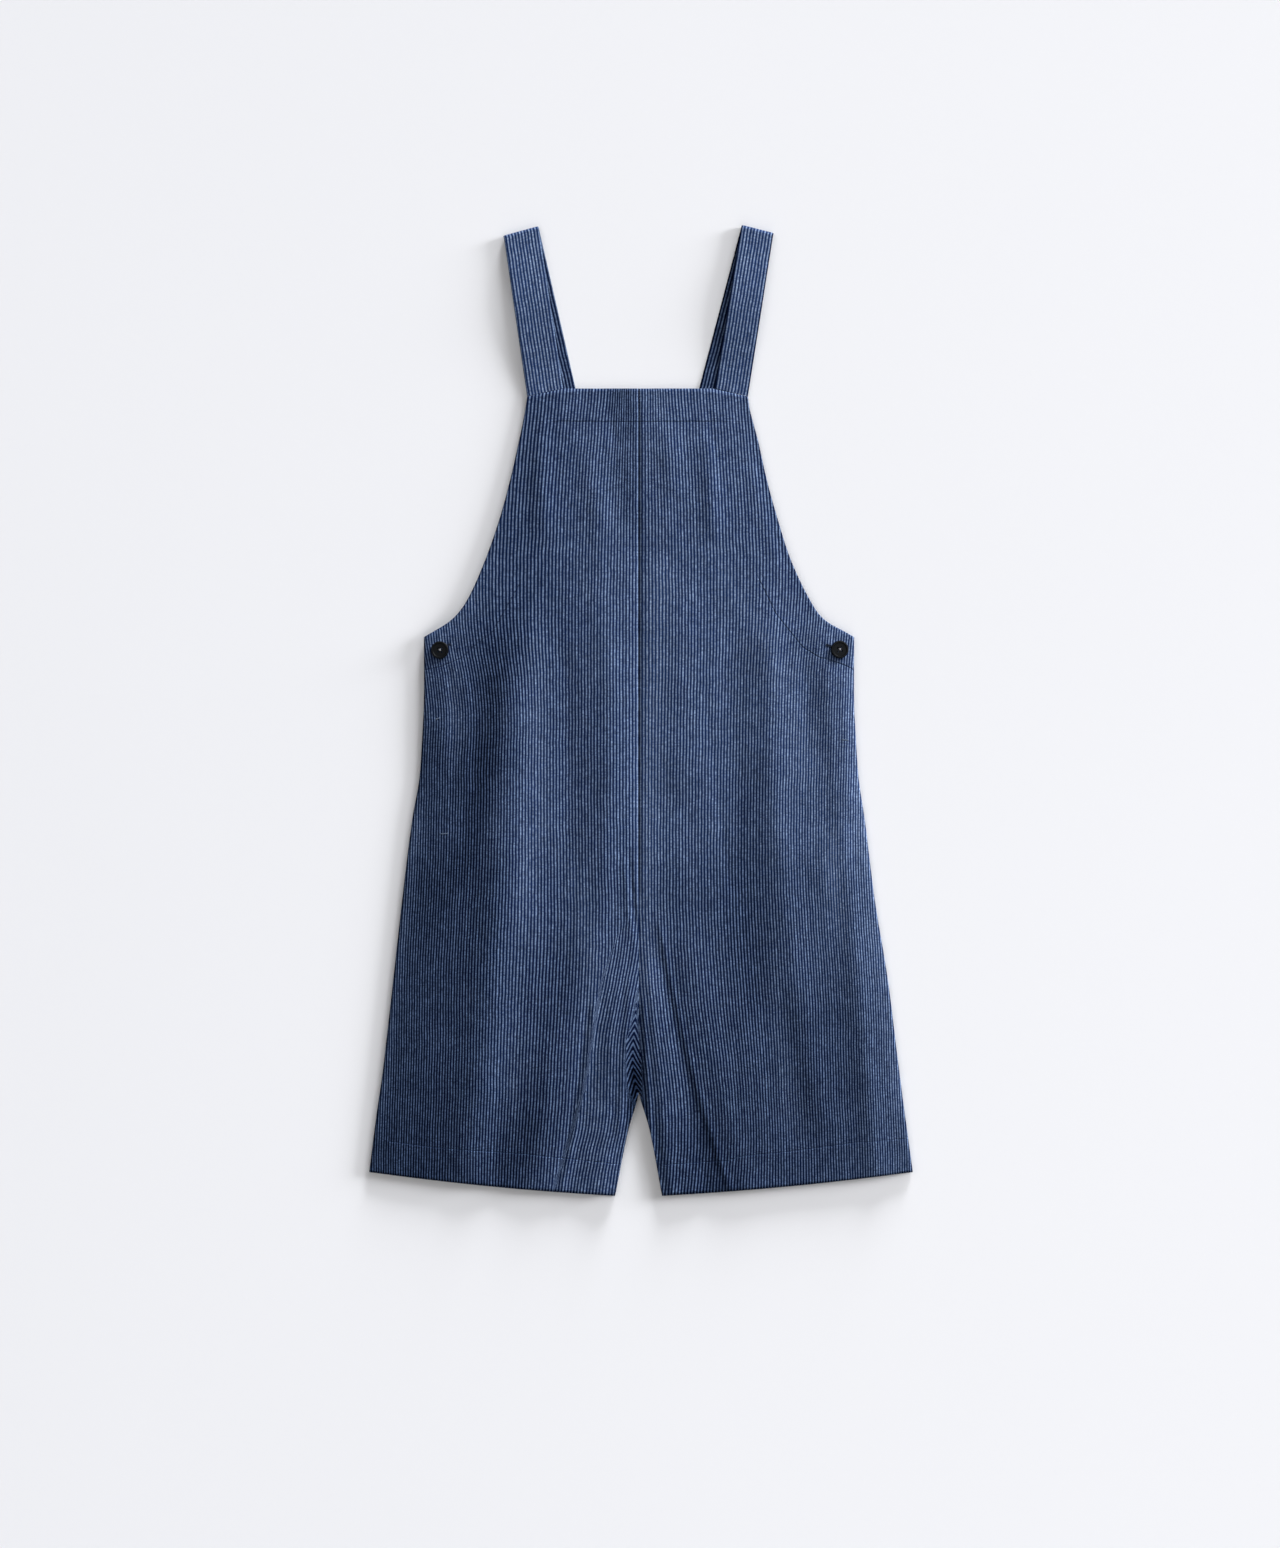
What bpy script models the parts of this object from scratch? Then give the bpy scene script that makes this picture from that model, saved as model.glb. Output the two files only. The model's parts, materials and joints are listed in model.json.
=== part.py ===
"""A short dungaree jumpsuit of striped linen, laid flat on its back.

Metres, +Z up. The garment lies on the plane z = 0 with its shoulder straps toward +Y, and left and
right are as seen from above. The origin is the middle of its outline, on the plane it rests on.
"""

import math
from collections import namedtuple

import bmesh
import bpy
from mathutils import Matrix, Vector

NAME = "short_jumpsuit"
MM = 0.001

# Driving dimensions, in millimetres
CLOTH = 1.2              # wall of the garment's cloth
STRAP_CLOTH = 1.6        # wall of a strap, which is sewn double
GAP = 0.3                # between pieces at a seam
SEAM_X = -1.9            # the centre seam lies a little left of the middle of the outline
ROW_STEP = 21.0          # longest step between two rows of a panel
FRONT_COLUMNS = 22
BACK_COLUMNS = 9
SIDE_ROLL = 26.0         # over which a front panel rises from its side edge
SEAM_ROLL = 11.0         # over which it rises from the centre seam
TURN_UP = 15.0           # width of the back's side edge that is turned up off the floor
FOLD_FADE = 55.0         # over which a fold dies away at each end
FOLD_FLOOR = 3.6         # the lowest that a trough brings the top of a front panel
BUTTON_R = 8.3
BUTTON_THICK = 2.8
BUTTON_RIM = 1.6         # width of the raised rim
BUTTON_DISH = 0.6        # depth of the dish inside the rim
BUTTON_HOLE_R = 0.9
BUTTON_HOLE_SPREAD = 1.7 # of each hole from the button's middle, along both its axes
BUTTON_FLAT = 11.0       # round the button, where the cloth lies flat
BUTTON_EASE = 9.0        # over which the cloth eases into that flat

# A panel's rows, from the top down. y_in and y_out are a row's ends at the middle and at the side,
# left and right are the two sides' x, and in_left and in_right are the x of the middle edges.
# bend is the share of the row that keeps y_in, and bow is how far its middle hangs.
Row = namedtuple("Row", "name y_in y_out left right in_left in_right bend bow")
BIB_ROWS = (
    Row("bib_top",     306.8,  299.2, -108.3, 101.6, SEAM_X, SEAM_X, 0.675, 0.0),
    Row("bib_seam",    288.0,  286.0, -110.2, 103.6, SEAM_X, SEAM_X, 0.0, 0.0),
    Row("bib",         257.5,  257.5, -115.9, 111.2, SEAM_X, SEAM_X, 0.0, 0.0),
    Row("bib_low",     219.5,  219.5, -124.5, 119.7, SEAM_X, SEAM_X, 0.0, 0.0),
    Row("armhole",     181.5,  181.5, -134.9, 130.2, SEAM_X, SEAM_X, 0.0, 0.0),
    Row("armhole_mid", 143.5,  143.5, -148.2, 142.5, SEAM_X, SEAM_X, 0.0, 0.0),
    Row("armhole_low", 105.5,  105.5, -165.3, 160.6, SEAM_X, SEAM_X, 0.0, 0.0),
    Row("underarm",     86.5,   86.5, -180.5, 174.8, SEAM_X, SEAM_X, 0.0, 0.0),
    Row("corner",       70.3,   70.3, -206.2, 202.4, SEAM_X, SEAM_X, 0.0, 0.0),
)
BACK_TOP_ROWS = (
    Row("back_top",    228.9,  228.9,  -78.8,  69.3, SEAM_X, SEAM_X, 0.0, 0.0),
    Row("back",        200.0,  200.0,  -87.0,  78.0, SEAM_X, SEAM_X, 0.0, 0.0),
    Row("back_mid",    162.0,  162.0, -106.0,  98.0, SEAM_X, SEAM_X, 0.0, 0.0),
    Row("back_low",    124.0,  124.0, -132.0, 125.0, SEAM_X, SEAM_X, 0.0, 0.0),
    Row("back_under",   96.0,   96.0, -162.0, 157.0, SEAM_X, SEAM_X, 0.0, 0.0),
    Row("corner",       70.3,   70.3, -206.2, 202.4, SEAM_X, SEAM_X, 0.0, 0.0),
)
SIDE_ROWS = (
    Row("waist",        10.5,   10.5, -206.2, 202.4, SEAM_X, SEAM_X, 0.0, 0.0),
    Row("pocket",      -27.6,  -27.6, -208.1, 204.3, SEAM_X, SEAM_X, 0.0, 0.0),
    Row("pocket_low",  -65.6,  -65.6, -210.9, 207.1, SEAM_X, SEAM_X, 0.0, 0.0),
    Row("hip",        -103.6, -103.6, -217.6, 212.8, SEAM_X, SEAM_X, 0.0, 0.0),
    Row("seat",       -179.6, -179.6, -227.1, 222.3, SEAM_X, SEAM_X, 0.0, 0.0),
    Row("rise",       -257.0, -255.6, -235.6, 234.7, SEAM_X, SEAM_X, 0.0, 0.5),
    Row("rise_low",   -335.0, -331.6, -244.2, 244.2, SEAM_X, SEAM_X, 0.0, 1.0),
    Row("crotch",     -362.0, -352.0, -246.8, 246.8, SEAM_X, SEAM_X, 0.0, 1.2),
    Row("thigh",      -398.0, -382.5, -251.3, 250.8,  -11.9,    8.1, 0.0, 1.8),
    Row("hem",        -460.2, -437.9, -258.4, 258.4,  -24.7,   20.0, 0.0, 2.4),
)
HEM_PEEK = 1.2           # how much longer the back's hem is than the front's

# How high the top of a front panel stands at its middle edge, in the open and at its side edge
Rise = namedtuple("Rise", "name seam open side")
RISES = (
    Rise("bib_top",     4.1,  4.3, 3.9),
    Rise("bib_seam",    5.5,  5.6, 4.2),
    Rise("bib",         7.2,  7.4, 4.4),
    Rise("bib_low",     8.0,  8.4, 4.5),
    Rise("armhole",     8.2,  9.2, 4.5),
    Rise("armhole_mid", 7.8,  9.6, 4.5),
    Rise("armhole_low", 7.4,  9.8, 4.8),
    Rise("underarm",    7.2,  9.8, 5.4),
    Rise("corner",      7.0,  9.8, 6.2),
    Rise("waist",       6.8,  9.8, 6.4),
    Rise("pocket",      6.8,  9.8, 6.4),
    Rise("pocket_low",  6.8,  9.8, 6.4),
    Rise("hip",         6.8,  9.8, 6.4),
    Rise("seat",        6.4,  9.8, 6.4),
    Rise("rise",        5.8,  9.6, 6.4),
    Rise("rise_low",    5.0,  9.2, 6.4),
    Rise("crotch",      4.2,  8.6, 6.2),
    Rise("thigh",       3.4,  7.8, 5.8),
    Rise("hem",         3.2,  7.0, 5.2),
)

# How far the back's side edge is turned up off the floor
Turn = namedtuple("Turn", "name up")
TURNS = (
    Turn("back_top", 0.0),
    Turn("back", 0.0),
    Turn("back_mid", 0.0),
    Turn("back_low", 0.0),
    Turn("back_under", 0.6),
    Turn("corner", 3.0),
    Turn("waist", 3.3),
    Turn("pocket", 3.3),
    Turn("pocket_low", 3.3),
    Turn("hip", 3.3),
    Turn("seat", 3.3),
    Turn("rise", 3.3),
    Turn("rise_low", 3.3),
    Turn("crotch", 3.1),
    Turn("thigh", 2.7),
    Turn("hem", 2.1),
)

# The largest folds of the front: crests stand up and valleys go down. Each runs through three
# points, from its upper end to its lower end, and reach is its half width.
Fold = namedtuple("Fold", "name height reach x1 y1 x2 y2 x3 y3")
FOLDS = (
    Fold("bib_left_crest",            2.0, 10,  -95,  286,  -95,  229,  -91,  143),
    Fold("bib_mid_left_crest",        2.5, 12,  -60,  267,  -39,  172,  -41,  105),
    Fold("bib_mid_right_crest",       1.8, 11,   26,  291,   27,  257,   29,  181),
    Fold("bib_right_crest",           2.0,  9,   66,  276,   66,  229,   71,  143),
    Fold("bib_armhole_crest",         2.5,  9,  102,  267,  118,  200,  142,  115),
    Fold("left_flank_crest",          5.0, 17, -123,   67, -139, -189, -174, -480),
    Fold("left_waist_valley",        -5.0, 14,  -81,   90,  -70,  -85,  -93, -275),
    Fold("left_waist_crest",          4.5, 13,  -41,  143,  -31,  -85,  -52, -275),
    Fold("left_thigh_outer_valley",  -3.0, 12, -123, -290, -129, -370, -149, -500),
    Fold("left_thigh_mid_crest",      4.0, 13,  -77, -280,  -91, -360, -108, -500),
    Fold("left_thigh_mid_valley",    -3.5, 11,  -47, -300,  -58, -379,  -71, -500),
    Fold("left_thigh_inner_crest",    4.0, 12,  -23, -225,  -28, -351,  -41, -500),
    Fold("right_waist_crest",         2.5, 20,   41,  143,   39,   29,   33, -100),
    Fold("right_valley",             -4.5, 15,   87,  120,   92, -113,  151, -440),
    Fold("right_flank_crest",         5.0, 14,  123,  125,  130, -113,  184, -430),
    Fold("right_edge_valley",        -2.5,  8,  157,   85,  157,   20,  159,  -55),
    Fold("right_edge_crest",          3.0, 12,  178,   70,  195, -142,  229, -480),
    Fold("right_thigh_inner_crest",   3.0, 10,    2, -190,   10, -313,   29, -500),
    Fold("right_thigh_valley",       -5.5, 11,    7, -110,   28, -284,   64, -500),
    Fold("right_thigh_crest",         5.0, 13,   26,  -95,   58, -265,  105, -500),
)

# A strap's edges: at the bib, at the fold over the shoulder and at the back's top edge
Strap = namedtuple("Strap", "side at x_outer y_outer x_inner y_inner")
STRAPS = (
    Strap("left", "bib",  -108.3, 299.2,  -74.1, 306.8),
    Strap("left", "fold", -131.1, 451.0,  -97.8, 459.6),
    Strap("left", "back",  -78.8, 228.9,  -44.6, 228.9),
    Strap("right", "bib",  101.6, 299.2,   70.3, 306.8),
    Strap("right", "fold", 126.3, 453.8,   95.9, 461.4),
    Strap("right", "back",  69.3, 228.9,   35.1, 228.9),
)
STRAP_COLUMNS = 3
STRAP_STEPS = 12         # along each of a strap's two runs
FOLD_STEPS = 6           # round the fold at its top
STRAP_TOP = 4.0          # height of a strap's upper side where it meets the bib
STRAP_ARCH = 4.0         # how far the upper run arches over the lower one
FOLD_R = 2.4             # of the fold at the shoulder, to the middle of the cloth

BUTTONS = {"left": (-190.9, 57.9), "right": (188.6, 58.4)}

# Colours as the cloth and the buttons look by daylight
LINEN = (0.045, 0.075, 0.15)
BUTTON_NAVY = (0.008, 0.010, 0.016)


# ---------------------------------------------------------------- curves through the tables

def smooth_between(points, at):
    """The value at a place on the smooth curve through (place, value) points with rising places."""
    if at <= points[0][0]:
        return points[0][1]
    if at >= points[-1][0]:
        return points[-1][1]
    upper = next(i for i, point in enumerate(points) if point[0] > at)
    low, high = points[upper - 1], points[upper]
    before = points[max(upper - 2, 0)]
    after = points[min(upper + 1, len(points) - 1)]
    span = high[0] - low[0]
    slope_low = (high[1] - before[1]) / (high[0] - before[0]) * span
    slope_high = (after[1] - low[1]) / (after[0] - low[0]) * span
    t = (at - low[0]) / span
    return (
        low[1] * (2 * t**3 - 3 * t**2 + 1)
        + slope_low * (t**3 - 2 * t**2 + t)
        + high[1] * (3 * t**2 - 2 * t**3)
        + slope_high * (t**3 - t**2)
    )


def ease(t):
    """0 to 1 with a soft start and end."""
    t = min(max(t, 0.0), 1.0)
    return t * t * (3.0 - 2.0 * t)


class Panel:
    """A panel's rows, read as smooth curves. The curves break at the corner under the arm."""

    def __init__(self, top_rows, columns):
        self.parts = (top_rows, (top_rows[-1],) + SIDE_ROWS)
        self.columns = columns

    def places(self):
        """Every row of the grid, from the top down, as (part, place in that part)."""
        found = []
        for number, rows in enumerate(self.parts):
            for index in range(len(rows) - 1):
                drop = rows[index].y_out - rows[index + 1].y_out
                steps = max(1, math.ceil(drop / ROW_STEP))
                found += [(number, index + step / steps) for step in range(steps)]
        found.append((len(self.parts) - 1, len(self.parts[-1]) - 1.0))
        return found

    def value(self, column, place):
        """A column of the table at a place, smooth against the rows' own heights."""
        number, at = place
        rows = self.parts[number]
        drops = [(rows[0].y_out - row.y_out, getattr(row, column)) for row in rows]
        index = min(int(at), len(rows) - 2)
        along = drops[index][0] + (at - index) * (drops[index + 1][0] - drops[index][0])
        return smooth_between(drops, along)

    def point(self, side, place, across):
        """The (x, y) of a point from the middle edge, across 0, to the side edge, across 1."""
        inner = self.value("in_" + side, place)
        if abs(inner - SEAM_X) < GAP / 2:
            inner = SEAM_X
        inner += GAP / 2 if side == "right" else -GAP / 2
        outer = self.value(side, place)
        bend = self.value("bend", place)
        slant = max(0.0, (across - bend) / (1.0 - bend))
        y_in = self.value("y_in", place)
        y = y_in + (self.value("y_out", place) - y_in) * slant
        y -= self.value("bow", place) * 4.0 * across * (1.0 - across)
        return inner + (outer - inner) * across, y


def row_heights(panel, table, column):
    """(y, value) points, rising, that read one column of a table of heights against y."""
    values = {entry.name: getattr(entry, column) for entry in table}
    heights = {row.name: row.y_out for rows in panel.parts for row in rows}
    return sorted((heights[name], value) for name, value in values.items())


# ---------------------------------------------------------------- the front's relief

def fold_height(fold, x, y):
    """How much one fold lifts or lowers the cloth at (x, y)."""
    if y > fold.y1 or y < fold.y3:
        return 0.0
    a = (y - fold.y2) * (y - fold.y3) / ((fold.y1 - fold.y2) * (fold.y1 - fold.y3))
    b = (y - fold.y1) * (y - fold.y3) / ((fold.y2 - fold.y1) * (fold.y2 - fold.y3))
    c = (y - fold.y1) * (y - fold.y2) / ((fold.y3 - fold.y1) * (fold.y3 - fold.y2))
    middle = a * fold.x1 + b * fold.x2 + c * fold.x3
    fade = ease((fold.y1 - y) / FOLD_FADE) * ease((y - fold.y3) / FOLD_FADE)
    return fold.height * fade * math.exp(-(((x - middle) / fold.reach) ** 2))


def front_relief(rises, x, y, from_seam, from_side):
    """Height of the front's upper side, from how far the point is from its two edges."""
    seam, spread, side = (smooth_between(rises[column], y) for column in ("seam", "open", "side"))
    height = spread
    height -= (spread - seam) * math.exp(-from_seam / SEAM_ROLL)
    height -= (spread - side) * math.exp(-from_side / SIDE_ROLL)
    clear = ease(from_side / SIDE_ROLL) * (0.35 + 0.65 * ease(from_seam / SEAM_ROLL))
    height += clear * sum(fold_height(fold, x, y) for fold in FOLDS)
    low = min(FOLD_FLOOR, seam, side)
    return low + math.log1p(math.exp((height - low) * 2.0)) / 2.0


class Front:
    """A front panel: its outline in plan and the height of its upper side."""

    def __init__(self, side):
        self.side = side
        self.panel = Panel(BIB_ROWS, FRONT_COLUMNS)
        self.rises = {c: row_heights(self.panel, RISES, c) for c in ("seam", "open", "side")}
        self.flat = None
        self.flat = self.tangent(*BUTTONS[side])

    def plane_point(self, place, across):
        return self.panel.point(self.side, place, across)

    def surface(self, place, across):
        x, y = self.plane_point(place, across)
        inner = self.plane_point(place, 0.0)[0]
        outer = self.plane_point(place, 1.0)[0]
        height = front_relief(self.rises, x, y, abs(x - inner), abs(outer - x))
        return x, y, self.flattened(x, y, height)

    def outer_x(self, y):
        """The side edge's x at a height below the corner, found along the side rows."""
        rows = sorted((row.y_out, getattr(row, self.side)) for row in self.panel.parts[1])
        return smooth_between(rows, y)

    def tangent(self, x, y):
        """The button's place, and the plane of the cloth under it."""
        step = 2.0
        heights = []
        for dx, dy in ((0, 0), (step, 0), (0, step)):
            outer = self.outer_x(y + dy)
            inner = abs(x + dx - SEAM_X)
            heights.append(front_relief(self.rises, x + dx, y + dy, inner, abs(outer - x - dx)))
        return x, y, heights[0], (heights[1] - heights[0]) / step, (heights[2] - heights[0]) / step

    def flattened(self, x, y, height):
        """The height, drawn to a plane under the button."""
        bx, by, bz, slope_x, slope_y = self.flat
        distance = math.hypot(x - bx, y - by)
        weight = 1.0 - ease((distance - BUTTON_FLAT) / BUTTON_EASE)
        plane = bz + slope_x * (x - bx) + slope_y * (y - by)
        return height + (plane - height) * weight


class Back:
    """A back panel, flat on the floor but for its turned-up side edge."""

    def __init__(self, side):
        self.side = side
        self.panel = Panel(BACK_TOP_ROWS, BACK_COLUMNS)
        self.turns = row_heights(self.panel, TURNS, "up")

    def surface(self, place, across):
        x, y = self.panel.point(self.side, place, across)
        outer = self.panel.point(self.side, place, 1.0)[0]
        up = smooth_between(self.turns, y)
        share = max(0.0, 1.0 - abs(outer - x) / TURN_UP)
        below = ease((SIDE_ROWS[-2].y_in - y) / (SIDE_ROWS[-2].y_in - SIDE_ROWS[-1].y_in))
        return x, y - HEM_PEEK * below, up * share * share + CLOTH


# ---------------------------------------------------------------- building

def clear_scene():
    for thing in list(bpy.data.objects):
        bpy.data.objects.remove(thing, do_unlink=True)


def material(name, colour, roughness, metallic=0.0):
    made = bpy.data.materials.new(name)
    made.use_nodes = True
    shader = made.node_tree.nodes["Principled BSDF"]
    shader.inputs["Base Color"].default_value = (*colour, 1.0)
    shader.inputs["Roughness"].default_value = roughness
    shader.inputs["Metallic"].default_value = metallic
    made.diffuse_color = (*colour, 1.0)
    return made


def add_object(name, bm, collection, look):
    mesh = bpy.data.meshes.new(name)
    bm.to_mesh(mesh)
    bm.free()
    made = bpy.data.objects.new(name, mesh)
    made.data.materials.append(look)
    mesh.shade_smooth()
    mesh.set_sharp_from_angle(angle=math.radians(40))
    collection.objects.link(made)
    return made


def add_wall(thing, thickness, offset):
    """Give an open surface its wall: offset -1 puts it below the surface, 0 on both sides."""
    wall = thing.modifiers.new("wall", "SOLIDIFY")
    wall.thickness = thickness * MM
    wall.offset = offset
    wall.use_even_offset = True


def grid_surface(columns, rows, point_at):
    """A grid whose points are placed by point_at(across 0..1, row number)."""
    bm = bmesh.new()
    bmesh.ops.create_grid(bm, x_segments=columns, y_segments=rows, size=0.5)
    for vertex in bm.verts:
        across = vertex.co.x + 0.5
        row = round((0.5 - vertex.co.y) * rows)
        vertex.co = Vector(point_at(across, row)) * MM
    return bm


def side_columns(across):
    """Columns crowd toward the side edge, where the cloth rolls over."""
    return across * (1.0 + 0.35 * (1.0 - across))


def make_panel(shape, name, spread, collection, look):
    places = shape.panel.places()

    def point_at(across, row):
        if shape.side == "left":
            across = 1.0 - across
        return shape.surface(places[row], spread(across))

    bm = grid_surface(shape.panel.columns, len(places) - 1, point_at)
    made = add_object(name, bm, collection, look)
    add_wall(made, CLOTH, -1.0)
    return made


def strap_edges(side):
    """The strap's (outer, inner) edge points at the bib, the fold and the back."""
    rows = {row.at: row for row in STRAPS if row.side == side}
    return {
        at: (Vector((row.x_outer, row.y_outer)), Vector((row.x_inner, row.y_inner)))
        for at, row in rows.items()
    }


def strap_path(edges):
    """The stations along a strap: the two edge points in plan and the cloth's middle height."""
    stations = []
    bib = [point.copy() for point in edges["bib"]]
    back = [point.copy() for point in edges["back"]]
    fold = edges["fold"]
    along = ((fold[0] + fold[1]) - (bib[0] + bib[1])).normalized()
    bib = [point + along * GAP for point in bib]
    back = [point + Vector((0.0, GAP)) for point in back]
    outward = Vector((fold[1].y - fold[0].y, fold[0].x - fold[1].x)).normalized()
    if outward.y < 0.0:
        outward = -outward
    turn = [point - outward * (FOLD_R + STRAP_CLOTH / 2) for point in fold]
    start = STRAP_TOP - STRAP_CLOTH / 2
    rest = STRAP_CLOTH / 2
    crown = rest + 2.0 * FOLD_R
    for step in range(STRAP_STEPS):
        t = step / STRAP_STEPS
        height = start + (crown - start) * ease(t) + STRAP_ARCH * math.sin(math.pi * t) ** 2
        stations.append(([b + (f - b) * t for b, f in zip(bib, turn)], height))
    for step in range(FOLD_STEPS + 1):
        angle = math.pi * step / FOLD_STEPS
        shift = outward * FOLD_R * math.sin(angle)
        stations.append(([f + shift for f in turn], rest + FOLD_R * (1.0 + math.cos(angle))))
    for step in range(1, STRAP_STEPS + 1):
        t = step / STRAP_STEPS
        stations.append(([f + (b - f) * t for b, f in zip(back, turn)], rest))
    return stations


def make_strap(side, collection, look):
    stations = strap_path(strap_edges(side))

    def point_at(across, row):
        (outer, inner), height = stations[row]
        share = across if side == "left" else 1.0 - across
        flat = outer + (inner - outer) * share
        return flat.x, flat.y, height

    bm = grid_surface(STRAP_COLUMNS, len(stations) - 1, point_at)
    made = add_object("strap_" + side, bm, collection, look)
    add_wall(made, STRAP_CLOTH, 0.0)
    return made


def button_profile():
    """Radius and height up the button's outer side and over its rim into the dish."""
    top, dish = BUTTON_THICK, BUTTON_THICK - BUTTON_DISH
    soft = 0.5
    return (
        (0.0, dish),
        (BUTTON_R - BUTTON_RIM - soft, dish),
        (BUTTON_R - BUTTON_RIM, top),
        (BUTTON_R - soft, top),
        (BUTTON_R, top - soft),
        (BUTTON_R, soft),
        (BUTTON_R - soft, 0.0),
        (0.0, 0.0),
    )


def turned(name, profile, steps, look, collection):
    """A solid of revolution from a profile that runs down its outer side."""
    bm = bmesh.new()
    corners = [bm.verts.new((radius * MM, 0.0, height * MM)) for radius, height in profile]
    for first, second in zip(corners, corners[1:]):
        bm.edges.new((first, second))
    made = add_object(name, bm, collection, look)
    screw = made.modifiers.new("turn", "SCREW")
    screw.axis = "Z"
    screw.steps = steps
    screw.render_steps = steps
    screw.use_merge_vertices = True
    screw.merge_threshold = 0.00001
    return made


def hole_cutter(name, x, y, parent, cutters):
    bm = bmesh.new()
    bmesh.ops.create_cone(
        bm, cap_ends=True, segments=10,
        radius1=BUTTON_HOLE_R * MM, radius2=BUTTON_HOLE_R * MM, depth=BUTTON_THICK * 3 * MM,
        matrix=Matrix.Translation((x * MM, y * MM, 0.0)),
    )
    mesh = bpy.data.meshes.new(name)
    bm.to_mesh(mesh)
    bm.free()
    cutter = bpy.data.objects.new(name, mesh)
    cutter.parent = parent
    cutter.hide_render = True
    cutter.display_type = "WIRE"
    cutters.objects.link(cutter)
    return cutter


def make_button(front, collection, cutters, look):
    """A round four-hole button that sits just clear of the cloth, square to it."""
    made = turned("button_" + front.side, button_profile(), 32, look, collection)
    x, y, z, slope_x, slope_y = front.flat
    normal = Vector((-slope_x, -slope_y, 1.0)).normalized()
    made.location = (Vector((x, y, z)) + normal * GAP) * MM
    made.rotation_mode = "QUATERNION"
    made.rotation_quaternion = normal.to_track_quat("Z", "Y")
    for number, (sx, sy) in enumerate(((1, 1), (1, -1), (-1, -1), (-1, 1))):
        name = f"hole_{front.side}_{number}"
        spread = BUTTON_HOLE_SPREAD
        cutter = hole_cutter(name, sx * spread, sy * spread, made, cutters)
        hole = made.modifiers.new(name, "BOOLEAN")
        hole.object = cutter
        hole.operation = "DIFFERENCE"
    return made


def main():
    clear_scene()
    collection = bpy.data.collections.new(NAME)
    cutters = bpy.data.collections.new(NAME + "_cutters")
    bpy.context.scene.collection.children.link(collection)
    bpy.context.scene.collection.children.link(cutters)
    for side in ("left", "right"):
        front = Front(side)
        cloth = material("linen_front_" + side, LINEN, 0.85)
        make_panel(front, "front_" + side, side_columns, collection, cloth)
        cloth = material("linen_back_" + side, LINEN, 0.85)
        make_panel(Back(side), "back_" + side, side_columns, collection, cloth)
        make_strap(side, collection, material("linen_strap_" + side, LINEN, 0.85))
        horn = material("button_horn_" + side, BUTTON_NAVY, 0.35)
        make_button(front, collection, cutters, horn)
    bpy.context.view_layer.update()


main()
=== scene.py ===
"""A short dungaree jumpsuit of striped linen, laid flat and seen from straight above.

Metres, +Z up, +Y toward the shoulder straps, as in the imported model. The tables are in millimetres.
"""

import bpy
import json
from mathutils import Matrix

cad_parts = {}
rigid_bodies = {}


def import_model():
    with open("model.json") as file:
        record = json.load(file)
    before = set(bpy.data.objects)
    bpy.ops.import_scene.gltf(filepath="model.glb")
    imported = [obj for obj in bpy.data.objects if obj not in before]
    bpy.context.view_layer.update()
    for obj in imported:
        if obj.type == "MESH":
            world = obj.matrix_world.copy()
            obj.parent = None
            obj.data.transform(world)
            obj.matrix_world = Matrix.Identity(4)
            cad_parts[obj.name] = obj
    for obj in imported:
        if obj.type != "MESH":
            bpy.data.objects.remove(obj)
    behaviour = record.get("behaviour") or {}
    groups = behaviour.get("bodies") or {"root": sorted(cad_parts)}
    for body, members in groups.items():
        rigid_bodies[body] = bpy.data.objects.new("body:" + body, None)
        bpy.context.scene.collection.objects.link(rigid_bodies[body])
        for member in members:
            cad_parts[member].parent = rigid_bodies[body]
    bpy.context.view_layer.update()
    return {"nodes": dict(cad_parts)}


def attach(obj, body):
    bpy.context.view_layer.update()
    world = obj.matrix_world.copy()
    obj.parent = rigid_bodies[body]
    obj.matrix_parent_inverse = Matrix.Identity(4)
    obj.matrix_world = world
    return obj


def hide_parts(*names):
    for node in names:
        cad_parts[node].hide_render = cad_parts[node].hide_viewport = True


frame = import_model()

import json
import math
from collections import namedtuple

import bmesh
import bpy
import numpy as np
from mathutils import Vector

MM = 0.001

# ---- sizes, in millimetres
CLOTH = 0.9  # thickness of the cloth that is drawn
WALL = 1.2  # the solids' wall
STRAP_CLOTH = 1.6  # both layers of a strap
GAP = 0.3  # between pieces that are sewn together
SEAM_GAP = 0.05  # between the two fronts
SEAM_X = -1.9  # the centre seam
FAR = 1000.0  # distance where no seam or stitching is near
CELL = 2.3  # the front's mesh along the garment, and the back's
BACK_CELL = 2.5 * CELL
FRONT_COLUMNS = 112
FRONT_CROWD = 1.3  # over 1 where the front's columns stand closer at the centre seam
BACK_WIDTH = 240.0
BACK_CROWD = 0.35  # how much closer the back's columns stand at the side edge
SIDE_ROLL = 26.0  # widths over which the front rolls down to its two edges
SEAM_ROLL = 11.0
TURN_UP = 15.0  # width of the back's side edge that is turned up off the floor
FOLD_FADE = 55.0  # length over which a fold begins and ends
FOLD_FLOOR = 3.6  # the lowest that a fold brings the front's upper side
FLOOR_SHARPNESS = 2.0
SEAM_FOLD_SHARE = 0.35  # share of a fold's height that is left at the centre seam
CREASE_FADE = 30.0
CREASE_CLEAR = 8.0  # distance from the side edge over which a crease comes in
QUIET_SIDE = 12.0  # distances from the side edge and the seam over which the crumples come in
QUIET_SEAM = 5.0
SEAM_DEPTH = 0.9  # of the groove along the centre seam, and its half width
SEAM_GROOVE = 1.5
SEAM_ENDS, SEAM_FADE = -160.0, 26.0  # where the groove fades out on its way to the crotch
SEAM_PAST = 2.5  # how far off the seam's shade is moved below that
STRIPE = 3.05  # from one pale line to the next

# The fine unevenness of washed linen: its height, and the size of its lattice across and along
CRUMPLES = ((0.30, 26.0, 34.0), (0.12, 9.0, 6.0), (0.05, 5.0, 3.2))
CRUMPLE_SEEDS = {"left": 11, "right": 23}

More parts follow.
